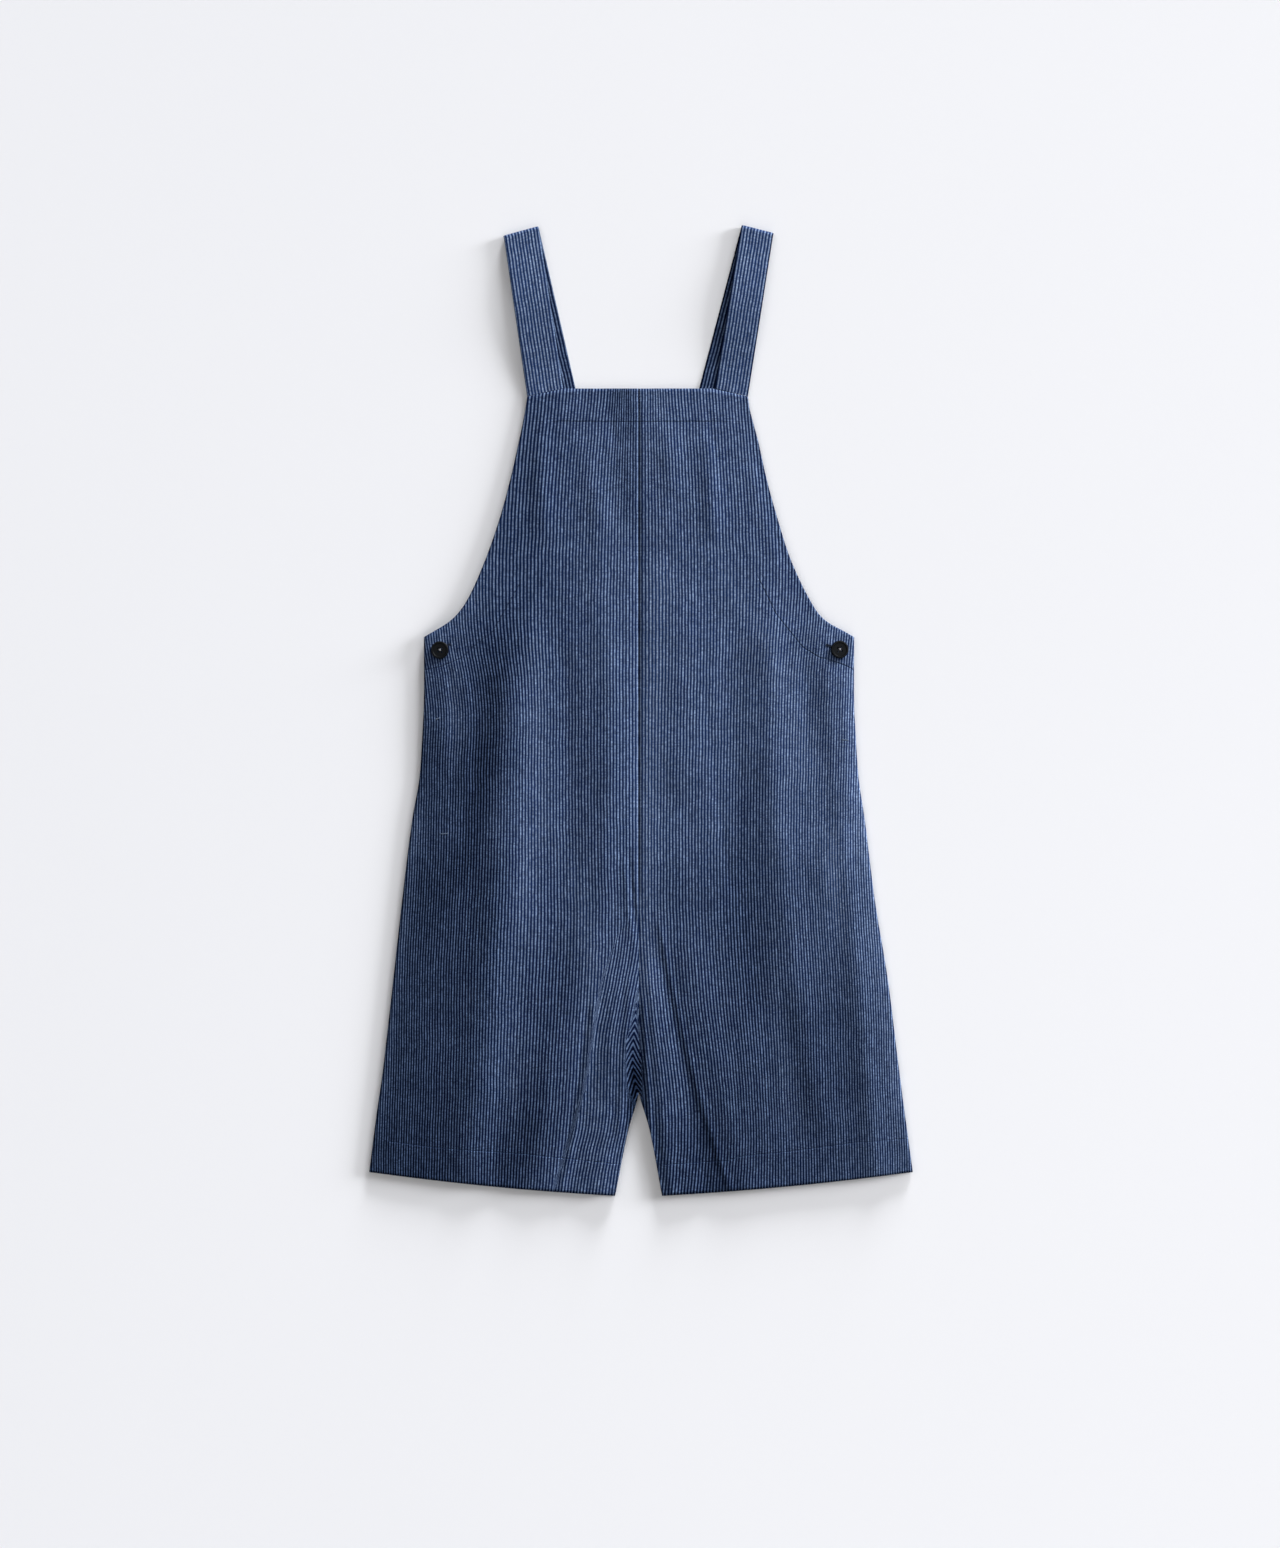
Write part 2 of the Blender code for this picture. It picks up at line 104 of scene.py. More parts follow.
BUTTON_THICK = 2.8
BUTTON_DISH = 0.6  # depth of the button's middle below its rim
BUTTON_FLAT = 11.0  # radius of the flat cloth under a button, and the width of its edge
BUTTON_EASE = 9.0
BUTTONS = {"left": (-190.9, 57.9), "right": (188.6, 58.4)}

# A panel's rows, from the top down, as in the solids
Row = namedtuple("Row", "name y_in y_out left right bow bend in_left in_right",
                 defaults=(0.0, 0.0, SEAM_X, SEAM_X))
BIB_ROWS = (
    Row("bib_top", 306.8, 299.2, -108.3, 101.6, 0, 0.675),
    Row("bib_seam", 288, 286, -110.2, 103.6),
    Row("bib", 257.5, 257.5, -115.9, 111.2),
    Row("bib_low", 219.5, 219.5, -124.5, 119.7),
    Row("armhole", 181.5, 181.5, -134.9, 130.2),
    Row("armhole_mid", 143.5, 143.5, -148.2, 142.5),
    Row("armhole_low", 105.5, 105.5, -165.3, 160.6),
    Row("underarm", 86.5, 86.5, -180.5, 174.8),
    Row("corner", 70.3, 70.3, -206.2, 202.4),
)
BACK_TOP_ROWS = (
    Row("back_top", 228.9, 228.9, -78.8, 69.3),
    Row("back", 200, 200, -87, 78),
    Row("back_mid", 162, 162, -106, 98),
    Row("back_low", 124, 124, -132, 125),
    Row("back_under", 96, 96, -162, 157),
    Row("corner", 70.3, 70.3, -206.2, 202.4),
)
SIDE_ROWS = (
    Row("waist", 10.5, 10.5, -206.2, 202.4),
    Row("pocket", -27.6, -27.6, -208.1, 204.3),
    Row("pocket_low", -65.6, -65.6, -210.9, 207.1),
    Row("hip", -103.6, -103.6, -217.6, 212.8),
    Row("seat", -179.6, -179.6, -227.1, 222.3),
    Row("rise", -257, -255.6, -235.6, 234.7, 0.5),
    Row("rise_low", -335, -331.6, -244.2, 244.2, 1),
    Row("crotch", -362, -352, -246.8, 246.8, 1.2),
    Row("thigh", -398, -382.5, -251.3, 250.8, 1.8, 0, -11.9, 8.1),
    Row("hem", -460.2, -437.9, -258.4, 258.4, 2.4, 0, -24.7, 20),
)
HEM_PEEK = 1.2  # how far the back's hem shows below the front's

# Height of the front's upper side at its middle edge, in the open and at its side edge, lower along
# the sides than in the solids, and how far the back's side edge is turned up
RISES = {
    "bib_top": (4.1, 4.3, 3.9),
    "bib_seam": (5.5, 5.6, 4.2),
    "bib": (7.2, 7.4, 4.8),
    "bib_low": (8, 8.4, 5.4),
    "armhole": (8.2, 9.2, 6),
    "armhole_mid": (7.8, 9.6, 6.4),
    "armhole_low": (7.4, 9.8, 6.6),
    "underarm": (7.2, 9.8, 6.5),
    "corner": (7, 9.8, 6.2),
    "waist": (7, 9.8, 6.3),
    "pocket": (7.1, 9.8, 5.6),
    "pocket_low": (7.2, 9.8, 5),
    "hip": (7.4, 9.8, 4.9),
    "seat": (7.6, 9.8, 5),
    "rise": (7.4, 9.6, 5.2),
    "rise_low": (7, 9.2, 5.4),
    "crotch": (6.4, 8.6, 5.4),
    "thigh": (6.4, 7.8, 5.2),
    "hem": (6, 7, 5),
}
TURNS = {
    "back_top": (0,), "back_low": (0,), "back_under": (0.6,), "corner": (2.6,), "waist": (2.6,),
    "pocket_low": (1.7,), "rise_low": (1.6,), "crotch": (1.6,), "thigh": (1.4,), "hem": (1.2,),
}

# The solids' large folds, most of them a little shallower here, each through three points from its
# upper to its lower end
Fold = namedtuple("Fold", "name height reach x1 y1 x2 y2 x3 y3")
FOLDS = [Fold(*row) for row in (
    ("bib_left_crest", 2, 10, -95, 286, -95, 229, -91, 143),
    ("bib_mid_left_crest", 1.5, 12, -60, 267, -39, 172, -41, 105),
    ("bib_mid_right_crest", 1.8, 11, 26, 291, 27, 257, 29, 181),
    ("bib_right_crest", 2, 9, 66, 276, 66, 229, 71, 143),
    ("bib_armhole_crest", 2.5, 9, 102, 267, 118, 200, 142, 115),
    ("left_flank_crest", 2.6, 17, -123, 67, -139, -189, -174, -480),
    ("left_waist_valley", -2, 14, -81, 90, -70, -85, -93, -275),
    ("left_waist_crest", 2, 13, -41, 143, -31, -85, -52, -275),
    ("left_thigh_outer_valley", -1.3, 12, -123, -290, -129, -370, -149, -500),
    ("left_thigh_mid_crest", 1.4, 13, -77, -280, -91, -360, -108, -500),
    ("left_thigh_mid_valley", -1.2, 11, -47, -300, -58, -379, -71, -500),
    ("left_thigh_inner_crest", 1.5, 11, -23, -225, -28, -351, -41, -500),
    ("right_waist_crest", 1.6, 20, 41, 143, 39, 29, 33, -100),
    ("right_valley", -1.5, 15, 87, 120, 92, -113, 151, -440),
    ("right_flank_crest", 1.9, 14, 123, 125, 130, -113, 184, -430),
    ("right_edge_valley", -1.3, 8, 157, 85, 157, 20, 159, -55),
    ("right_edge_crest", 2.4, 12, 178, 70, 195, -142, 229, -480),
    ("right_thigh_inner_crest", 1.5, 9, 4, -215, 14, -313, 33, -500),
    ("right_thigh_valley", -1.5, 9, 19, -215, 37, -313, 68, -500),
    ("right_thigh_crest", 1.2, 14, 42, -190, 66, -313, 112, -500),
)]

# Creases too fine for the solids: through three points too, but only a few millimetres wide
CREASES = [Fold(*row) for row in (
    ("centre_crease", -1.3, 2.4, -12, -128, -8, -175, -3, -222),
    ("centre_crease_side", 0.8, 3, -17, -130, -13, -175, -8, -222),
    ("left_thigh_streak", 1.2, 3.4, -42, -262, -54, -355, -80, -475),
    ("left_thigh_streak_foot", -0.9, 3.2, -49, -262, -61, -355, -87, -475),
    ("left_crotch_fold", 1.6, 4, -9, -236, -14, -312, -22, -420),
    ("right_crotch_fold", 1.3, 2.6, 2, -262, 5, -330, 12, -430),
    ("right_thigh_edge", 1.1, 3, 16, -190, 42, -315, 92, -475),
    ("left_pocket_pull", -0.8, 4, -186, 66, -180, 8, -183, -60),
    ("left_pocket_crest", 0.9, 5, -170, 58, -166, -8, -170, -90),
    ("bib_left_facing_pull", -0.5, 5, -34, 312, -30, 285, -22, 235),
    ("bib_centre_pull", -0.6, 6, -14, 312, -12, 286, -14, 240),
    ("bib_right_pull", -0.5, 4, 62, 305, 68, 262, 80, 205),
    ("right_pocket_bulge", 1.5, 6, 191, 50, 194, -30, 200, -110),
    ("right_seat_line", -0.5, 4.5, 60, 40, 70, -60, 90, -190),
    ("left_seat_line", -0.5, 4, -60, -120, -66, -200, -84, -300),
)]

# Broad soft bands of painted shade multiplied into the linen's colour, or of painted light where the share
# is below 0
SHADING_BANDS = [Fold(*row) for row in (
    ("legs", 0.21, 904, 15, -109, 0, -434, -2, -759),
    ("left_flank", 0.41, 60, -94, 130, -244, -203, -217, -538),
    ("left_flank_core", 0.26, 45, -146, 6, -171, -288, -209, -582),
    ("right_flank", 0.22, 100, 144, -243, 147, -480, 152, -717),
    ("seam_side", 0.16, 5, -11, -80, -8, -299, -21, -518),
    ("bib_beside_seam", 0.27, 11, -18, 388, -16, 265, -6, 143),
    ("right_of_seam", -0.36, 13, 24, 175, 7, -65, 6, -305),
    ("right_valley", 0.23, 21, 117, -17, 94, -164, 116, -312),
    ("bib_left", 0.22, 44, -206, 1336, -107, 705, -118, 73),
    ("left_thigh_shade", 0.35, 32, -93, -334, -116, -420, -150, -506),
    ("left_crest_light", -0.23, 11, -96, 134, -101, -60, -108, -254),
    ("left_waist_shade", 0.14, 52, -86, 61, -41, -56, -23, -174),
    ("right_pocket_light", -0.51, 9, 184, -87, 183, -165, 197, -244),
    ("right_thigh_light", -0.27, 11, 122, -231, 135, -332, 154, -433),
    ("left_side_core", 0.20, 14, -136, 86, -146, -47, -178, -181),
    ("left_seat_light", -0.27, 14, -62, -115, -53, -202, -29, -289),
    ("left_thigh_light", -0.13, 12, -46, -217, -18, -629, 74, -1041),
    ("right_hem_shade", 0.22, 45, 57, -357, 51, -437, 111, -516),
    ("left_thigh_line", 0.19, 21, -81, -204, -85, -295, -100, -387),
    ("right_waist_light", -0.21, 13, 50, 168, 133, 34, 150, -100),
    ("left_thigh_crest", -0.15, 10, -101, -97, -124, -261, -118, -424),
    ("bib_top_centre", 0.26, 26, -22, 342, -20, 288, -18, 246),
    ("crotch", 0.58, 9, -6, -292, -4, -352, -3, -420),
    ("right_thigh_line", 0.20, 4.5, 7, -165, 42, -321, 91, -480),
    ("right_edge_light", -0.30, 6, 201, 90, 213, -110, 252, -420),
    ("left_edge_light", -0.26, 6, -208, -60, -226, -200, -253, -420),
    ("bib_right_edge", 0.26, 8, 99, 340, 128, 190, 173, 60),
    ("left_pocket_light", -0.40, 7, -180, 80, -176, 10, -181, -80),
)]
SHADING_FADE = 60.0
# The power of the painted shading in red, green and blue, in the navy ground and in the pale lines
SHADING_IN_NAVY = (2.6, 2.2, 1.7)
SHADING_IN_PALE = (1.08, 0.93, 0.76)
# Painted shade: the back, which lies under the front, is drawn a little darker
BACK_SHADE = 0.9

# Lines of stitching on a front, through points in plan
LINES = ("facing", "hem", "armhole")
STITCHES = {
    ("left", "facing"): ((-73, 275.3), (-1.9, 275)),
    ("right", "facing"): ((-1.9, 275), (70, 275.3)),
    ("left", "hem"): (
        (-239, -409.3), (-195.7, -414.9), (-107.4, -421.3), (-64.6, -426), (-22, -430.6)),
    ("right", "hem"): (
        (22, -431), (80.8, -427.5), (96.9, -422.8), (141.1, -418.6), (201, -410.4), (250.8, -406.6)),
    ("left", "armhole"): (
        (-116, 120), (-142, 74), (-158, 62), (-171, 50), (-190, 42), (-206, 39)),
    ("right", "armhole"): (
        (112, 125), (128, 92), (153.9, 60.2), (169.7, 50.5), (180.3, 48.2), (193.8, 43.3),
        (202.4, 39)),
}

# How the stripes lean outward as they run down, as (y, degrees near the centre seam, degrees far from it)
LEANS = {
    "left": (
        (310, 5, 5.5), (260, 4.5, 4.5), (200, 2.5, 3), (105, 0.5, -1), (70, 0, -7),
        (50, 0, -10), (28, 0, -8), (0, 0, -3), (-28, 0, 3), (-60, 0, 0.5),
        (-140, -1, 2), (-180, -1, 3), (-227, 1.5, 2.5), (-275, 3.5, 0.3), (-350, 3, 1.5),
        (-400, 5, 2), (-465, 7, -1),
    ),
    "right": (
        (310, 4, 5.5), (260, 3, 6), (200, 2, 5), (105, 0, -3), (65, -0.5, -6),
        (35, -1, -3), (5, -1, -1.5), (-85, -0.5, -1), (-140, 0, 1), (-180, 1, 3),
        (-227, 3, 3.5), (-275, 5.5, 2.5), (-305, 7.5, 1), (-350, 6, 1.5), (-378, 3.5, 2.5),
        (-400, 0, 2.5), (-425, -4, 1.5), (-465, -5, 0.5),
    ),
}
LEAN_NEAR, LEAN_FAR = 57.0, 171.0  # where the near lean ends and the far one begins

# The seam's line as the stripes meet it, and the half widths of the chevrons it runs between at the
# crotch, as (y, x, left width, right width)
APEXES = (
    (-200, -1.9, 0, 0),
    (-262, -3, 0, 0),
    (-290, -5.2, 2, 1.5),
    (-317, -7.6, 7, 6.5),
    (-333, -8, 7.2, 8.4),
    (-343, -6.8, 8, 8),
    (-353, -5.6, 9, 7),
    (-366, -2.5, 9, 4),
    (-380, -1.9, 0, 0),
)
CHEVRON_TOP = -290.0
CHEVRON = 27.0  # how far the chevrons' stripes lean, in degrees
CHEVRON_SHIFT = 1.0
# Below this height the stripes run into the seam instead of keeping their distance from it
SEAM_ENTRY = -180.0
SEAM_REACH = 30.0  # and above it they follow their lean from this far off the seam on
# The crease down the left thigh as (y, x), and how many degrees more the stripes lean between it and
# the inseam, as (y, degrees)
STREAK = (
    (-185, -6), (-218, -25), (-256, -38), (-293.6, -44.7), (-360, -55.1), (-435, -77.9), (-470, -88),
)
STREAK_LEANS = (
    (-185, 1), (-205, 3), (-227, 6), (-250, 9), (-275, 8), (-293, 8), (-312, 3), (-331, -2),
    (-350, -2), (-369, -3), (-388, 1), (-407, 9), (-426, 4), (-470, 1),
)
STREAK_EDGE = 2.0
CROWDING = 0.31  # how much closer the stripes stand at the side edge
CROWDING_AT = 228.0

# A strap's outer and inner edge at the bib, at the fold over the shoulder and at the back's top edge
STRAPS = {
    "left": (
        ((-108.3, 299.2), (-74.1, 306.8)),
        ((-131.1, 452.2), (-97.8, 461.4)),
        ((-78.8, 228.9), (-44.6, 228.9)),
    ),
    "right": (
        ((101.6, 299.2), (70.3, 306.8)),
        ((126.3, 454.8), (95.9, 462.6)),
        ((69.3, 228.9), (35.1, 228.9)),
    ),
}
STRAP_TOP = 4.0  # height of a strap's upper side at the bib's seam
STRAP_ARCH = 3.5  # how much higher it runs half way to the shoulder
FOLD_R = 2.4
FOLD_TURNS = 16  # rings round the fold
STRAP_STEPS = 110  # rings from the bib to the fold, and again down to the back
STRAP_COLUMNS = 22  # points across each face
STRAP_ROUND = 3.2  # width over which a face rounds down to its edge
STRAP_RIM = 0.2  # the edge's thickness as a share of the middle's
STRAP_CROWD = 0.25  # how much closer the points stand at the two edges
# Painted light on the straps, and painted shade on their rolled edges and on their run down the back past
# the fold
STRAP_LIGHT = 1.22
STRAP_EDGE = 0.045  # share of the width over which the painted shading falls to the edge's
STRAP_EDGE_SHADE = 0.42
STRAP_BACK_SHADE = 0.55

# Both ends of a buttonhole's slit in plan, and the bars of stitches at the pockets' ends
BUTTONHOLES = {"left": ((-196.0, 59.0), (-180.6, 63.5)), "right": ((176.0, 63.0), (193.5, 57.0))}
HOLE_STITCH = 0.55  # from one stitch of a buttonhole to the next
HOLE_REACHES = (0.2, 0.75, 1.25)  # a stitch's three points away from the slit, and their heights
HOLE_RISES = (0.02, 0.2, 0.0)
HOLE_THREAD = 0.24  # radius
SLIT_RADIUS = 0.3
SLIT_STEPS = 11
Bartack = namedtuple("Bartack", "side x y length turn stitches")
BARTACKS = (
    Bartack("left", -193.3, -7.3, 4, 20, 8),
    Bartack("left", -186.5, -116.5, 7.5, 3, 14),
    Bartack("right", 194, -27.5, 6.5, -8, 12),
)
BAR_LEAN = 78.0  # between a bar and its stitches, in degrees
BAR_REACHES = (-0.55, 0.0, 0.55)
BAR_RISES = (-0.05, 0.2, -0.05)
BAR_THREAD = 0.22

# The crossed stitches in a button's dish
CROSS_REACH = 1.4
CROSS_RISE = 0.35  # of the lower stitch's middle over the dish, and of the upper one over that
CROSS_OVER = 0.25
CROSS_SINK = 0.9  # how far a stitch's ends dip into their holes
CROSS_THREAD = 0.38
CROSS_STEPS = 5
TUBE_END = 0.45  # a thread's end as a share of its radius

# ---- looks
NAVY = (0.0068, 0.0176, 0.0640)
PALE = (0.178, 0.245, 0.388)
SLUB = (0.50, 0.55, 0.62)
SWAY = 1.2  # how far a line wavers, in millimetres
LINE_HALF = (0.175, 0.225)  # a line's half width where it is thin and thick, in stripes
LINE_INSIDE, LINE_OUTSIDE = 0.12, 0.10  # how far its soft edge reaches in and out of that
WARP_SIZE, WEFT_SIZE = 0.62, 0.58
# painted shade in the seam's groove: the colour's share at the seam itself
SEAM_SHADE = 0.28
STITCH = 2.7  # length of a stitch with its gap
STITCH_WIDTHS = (1.1, 1.1, 1.0)  # of the stitches of the facing, the hem and the armhole
DOUBLING = 1.4  # half the step from the single to the doubled cloth
THREAD_NAVY = (0.010, 0.020, 0.050)
BUTTON_BLACK = (0.0018, 0.0024, 0.0032)
THREAD_BLUE = (0.16, 0.21, 0.30)
# painted shade: the colour of a near-black tube that stands for a slit's dark opening
SLIT_SHADE = (0.002, 0.003, 0.007)
BUTTON_THREAD = (0.26, 0.26, 0.29)
FLOOR_SIZE = 12.0  # half a side, in metres
# Painted light: the floor is coloured lighter toward +X, the side the lamps mostly light from
FLOOR_LEFT = (0.782, 0.790, 0.820)
FLOOR_RIGHT = (0.832, 0.840, 0.870)
FLOOR_BLEND = 0.6  # metres to either side over which one colour turns into the other
SKY = (0.97, 0.98, 1.0)
SKY_STRENGTH = 0.055

# Soft lamps: what they light, their strength, their place in degrees (azimuth from +X toward +Y), their
# width in degrees and their tint. The floor's high lamps are a little warm, since they reach into the
# shadows, and its low ones a little cool.
WHITE, COOL, WARM = (1.0, 1.0, 1.0), (0.992, 1.0, 1.02), (1.024, 1.0, 0.972)
Lamp = namedtuple("Lamp", "name lights strength azimuth elevation width tint")
LAMPS = (
    Lamp("key", "cloth", 7.3, 48, 13.5, 28, WHITE),
    Lamp("window", "cloth", 0.62, 45, 40, 44, WHITE),
    Lamp("overhead", "cloth", 1.02, 54, 78, 56, WHITE),
    Lamp("low_right", "floor", 4.7, 16, 12, 20, COOL),
    Lamp("low_top", "floor", 5.8, 76, 8.5, 16, COOL),
    Lamp("right", "floor", 0.68, 40, 30, 34, COOL),
    Lamp("front", "floor", 0.745, 280, 36, 55, WARM),
    Lamp("left", "floor", 0.45, 145, 45, 50, WARM),
    Lamp("high", "floor", 0.37, 180, 68, 50, WARM),
)
LAMP_AWAY = 3.0  # metres

# The photograph: its size, its scale and the pixel that shows the garment's origin
PHOTO_W, PHOTO_H = 1280, 1548
PHOTO_MM = 0.95  # one pixel of the photograph on the cloth
PHOTO_ORIGIN = (641.0, 711.0)
LENS = 85.0
SENSOR = 36.0
CLOTH_LEVEL = 8.0  # height at which the photograph's scale holds


# ---- curves through the tables

def smooth_curve(places, values, at):
    """The smooth curve through (place, value) points with rising places, at many places."""
    places, values = np.asarray(places, float), np.asarray(values, float)
    last = len(places) - 1
    number = np.arange(last + 1)
    after, before = np.minimum(number + 1, last), np.maximum(number - 1, 0)
    slopes = (values[after] - values[before]) / (places[after] - places[before])
    at = np.clip(at, places[0], places[-1])
    low = np.clip(np.searchsorted(places, at, side="right") - 1, 0, last - 1)
    span = places[low + 1] - places[low]
    t = (at - places[low]) / span
    return (
        values[low] * (2 * t**3 - 3 * t**2 + 1)
        + slopes[low] * span * (t**3 - 2 * t**2 + t)
        + values[low + 1] * (3 * t**2 - 2 * t**3)
        + slopes[low + 1] * span * (t**3 - t**2)
    )


def ease(t):
    """0 to 1 with a soft start and end."""
    t = np.clip(t, 0.0, 1.0)
    return t * t * (3.0 - 2.0 * t)


def bump_at(t):
    """A soft hump: 1 at 0, falling away on both sides."""
    return np.exp(-(t**2))


def heights_at(y, table, top_rows):
    """The columns of a table of the rows' heights, as smooth curves at y."""
    row_y = {row.name: row.y_out for row in top_rows + SIDE_ROWS}
    heights, *columns = zip(*sorted((row_y[name], *values) for name, values in table.items()))
    return [smooth_curve(heights, column, y) for column in columns]


def value_noise(x, y, seed):
    """Smooth noise from -1 to 1 on a lattice of whole numbers."""
    x0, y0 = np.floor(x).astype(int), np.floor(y).astype(int)
    fx, fy = ease(x - x0), ease(y - y0)
    width = x0.max() - x0.min() + 2
    depth = y0.max() - y0.min() + 2
    lattice = np.random.RandomState(seed).uniform(-1.0, 1.0, (depth, width))
    column, row = x0 - x0.min(), y0 - y0.min()
    low = lattice[row, column] * (1 - fx) + lattice[row, column + 1] * fx
    high = lattice[row + 1, column] * (1 - fx) + lattice[row + 1, column + 1] * fx
    return low * (1 - fy) + high * fy


# ---- panels

def panel_rows(top_rows, step):
    """The panel's columns read at fine rows from the top down, a dictionary of arrays."""
    columns = [name for name in Row._fields if name != "name"]
    found = {name: [] for name in columns}
    parts = (top_rows, (top_rows[-1],) + SIDE_ROWS)
    for part, rows in enumerate(parts):
        drops = np.array([rows[0].y_out - row.y_out for row in rows])
        count = max(2, round(drops[-1] / step))
        at = drops[-1] * np.arange(count + part) / count
        for name in columns:
            found[name].append(smooth_curve(drops, [getattr(row, name) for row in rows], at))
    return {name: np.concatenate(values) for name, values in found.items()}


def plan_grid(side, rows, across):
    """X and Y of a panel's grid: a row of points for each row, across 0 at the middle edge."""
    inner = rows["in_" + side] + (SEAM_GAP / 2 if side == "right" else -SEAM_GAP / 2)
    inner, outer = inner[:, None], rows[side][:, None]
    bend = rows["bend"][:, None]
    slant = np.maximum(0.0, (across[None, :] - bend) / (1.0 - bend))
    y_in, y_out = rows["y_in"][:, None], rows["y_out"][:, None]
    y = y_in + (y_out - y_in) * slant
    y = y - rows["bow"][:, None] * 4.0 * across[None, :] * (1.0 - across[None, :])
    x = inner + (outer - inner) * across[None, :]
    return x, y, np.abs(x - inner), np.abs(outer - x)


def fold_height(fold, x, y, fade=FOLD_FADE):
    """How much one fold lifts or lowers the cloth."""
    a = (y - fold.y2) * (y - fold.y3) / ((fold.y1 - fold.y2) * (fold.y1 - fold.y3))
    b = (y - fold.y1) * (y - fold.y3) / ((fold.y2 - fold.y1) * (fold.y2 - fold.y3))
    c = (y - fold.y1) * (y - fold.y2) / ((fold.y3 - fold.y1) * (fold.y3 - fold.y2))
    middle = a * fold.x1 + b * fold.x2 + c * fold.x3
    ends = ease((fold.y1 - y) / fade) * ease((y - fold.y3) / fade)
    inside = (y < fold.y1) & (y > fold.y3)
    return np.where(inside, fold.height * ends * bump_at((x - middle) / fold.reach), 0.0)


def front_relief(x, y, from_seam, from_side):
    """Height of the front's upper side: its broad form, folds, creases and the seam's groove."""
    seam, spread, side = heights_at(y, RISES, BIB_ROWS)
    height = spread - (spread - seam) * np.exp(-from_seam / SEAM_ROLL)
    height -= (spread - side) * np.exp(-from_side / SIDE_ROLL)
    at_seam = SEAM_FOLD_SHARE + (1.0 - SEAM_FOLD_SHARE) * ease(from_seam / SEAM_ROLL)
    height += ease(from_side / SIDE_ROLL) * at_seam * sum(fold_height(fold, x, y) for fold in FOLDS)
    creases = sum(fold_height(fold, x, y, CREASE_FADE) for fold in CREASES)
    height += ease(from_side / CREASE_CLEAR) * creases
    groove = SEAM_DEPTH * np.exp(-((from_seam / SEAM_GROOVE) ** 2))
    height -= groove * ease((y - SEAM_ENDS + SEAM_FADE) / SEAM_FADE)
    low = np.minimum(FOLD_FLOOR, np.minimum(seam, side))
    return low + np.log1p(np.exp((height - low) * FLOOR_SHARPNESS)) / FLOOR_SHARPNESS


def cloth_shading(x, y):
    """What the linen's colour is multiplied by: the broad bands of light and shade."""
    return 1.0 - sum(fold_height(fold, x, y, SHADING_FADE) for fold in SHADING_BANDS)


def line_distance(side, name, x, y):
    """Signed distance to a line of stitching, in millimetres, above it counted positive."""
    points = STITCHES[side, name]
    best = np.full(x.shape, FAR)
    for (ax, ay), (bx, by) in zip(points, points[1:]):
        length = math.hypot(bx - ax, by - ay)
        ux, uy = (bx - ax) / length, (by - ay) / length
        along = np.clip((x - ax) * ux + (y - ay) * uy, 0.0, length)
        off = np.hypot(x - ax - along * ux, y - ay - along * uy)
        signed = np.where((x - ax) * -uy + (y - ay) * ux < 0, -off, off)
        best = np.where(off < np.abs(best), signed, best)
    return best


def side_x(side, y):
    """The side edge's x below the corner under the arm."""
    rows = sorted((row.y_out, getattr(row, side)) for row in (BIB_ROWS[-1],) + SIDE_ROWS)
    return smooth_curve(*zip(*rows), y)


def button_plane(side):
    """The button's place on the cloth, its height and the cloth's two slopes there."""
    x, y = BUTTONS[side]
    step = 2.0
    at_x = np.array([x, x + step, x])
    at_y = np.array([y, y, y + step])
    from_side = np.abs(side_x(side, at_y) - at_x)
    heights = front_relief(at_x, at_y, np.abs(at_x - SEAM_X), from_side)
    return x, y, heights[0], (heights[1] - heights[0]) / step, (heights[2] - heights[0]) / step


def flattened(side, x, y, height):
    """The height, drawn to a plane under the button."""
    bx, by, bz, slope_x, slope_y = button_plane(side)
    weight = 1.0 - ease((np.hypot(x - bx, y - by) - BUTTON_FLAT) / BUTTON_EASE)
    plane = bz + slope_x * (x - bx) + slope_y * (y - by)
    return height + (plane - height) * weight


def crumpled(x, y, seed):
    """The fine unevenness of washed linen, in millimetres."""
    return sum(height * value_noise(x / width, y / length, seed + number)
               for number, (height, width, length) in enumerate(CRUMPLES))


def front_surface(side):
    """Arrays of the front's upper side: x, y, z and the distance to the centre seam."""
    rows = panel_rows(BIB_ROWS, CELL)
    across = (np.arange(FRONT_COLUMNS + 1) / FRONT_COLUMNS) ** FRONT_CROWD
    x, y, from_seam, from_side = plan_grid(side, rows, across)
    z = flattened(side, x, y, front_relief(x, y, from_seam, from_side))
    quiet = ease(from_side / QUIET_SIDE) * ease(from_seam / QUIET_SEAM)
    return x, y, z + quiet * crumpled(x, y, CRUMPLE_SEEDS[side]), from_seam


def back_surface(side):
    """The same arrays of the back's upper side."""
    rows = panel_rows(BACK_TOP_ROWS, BACK_CELL)
    count = round(BACK_WIDTH / BACK_CELL)
    across = np.arange(count + 1) / count
    across = across * (1.0 + BACK_CROWD * (1.0 - across))
    x, y, from_seam, from_side = plan_grid(side, rows, across)
    up, = heights_at(y, TURNS, BACK_TOP_ROWS)
    share = np.maximum(0.0, 1.0 - from_side / TURN_UP)
    thigh, hem = SIDE_ROWS[-2].y_in, SIDE_ROWS[-1].y_in
    below = ease((thigh - y) / (thigh - hem))
    return x, y - HEM_PEEK * below, up * share**2 + WALL, from_seam


# ---- the stripes' own coordinates

def outward_drift(heights, leans, y):
    """How far a stripe has moved outward on its way down to y, in millimetres."""
    places = np.arange(heights[0], heights[-1] + 1.0, 1.0)
    slopes = np.tan(np.radians(smooth_curve(heights, leans, places)))
    drift = np.concatenate([[0.0], np.cumsum(slopes[:-1])])
    drift = np.interp(0.0, places, drift) - drift
    return np.interp(y, places, drift)


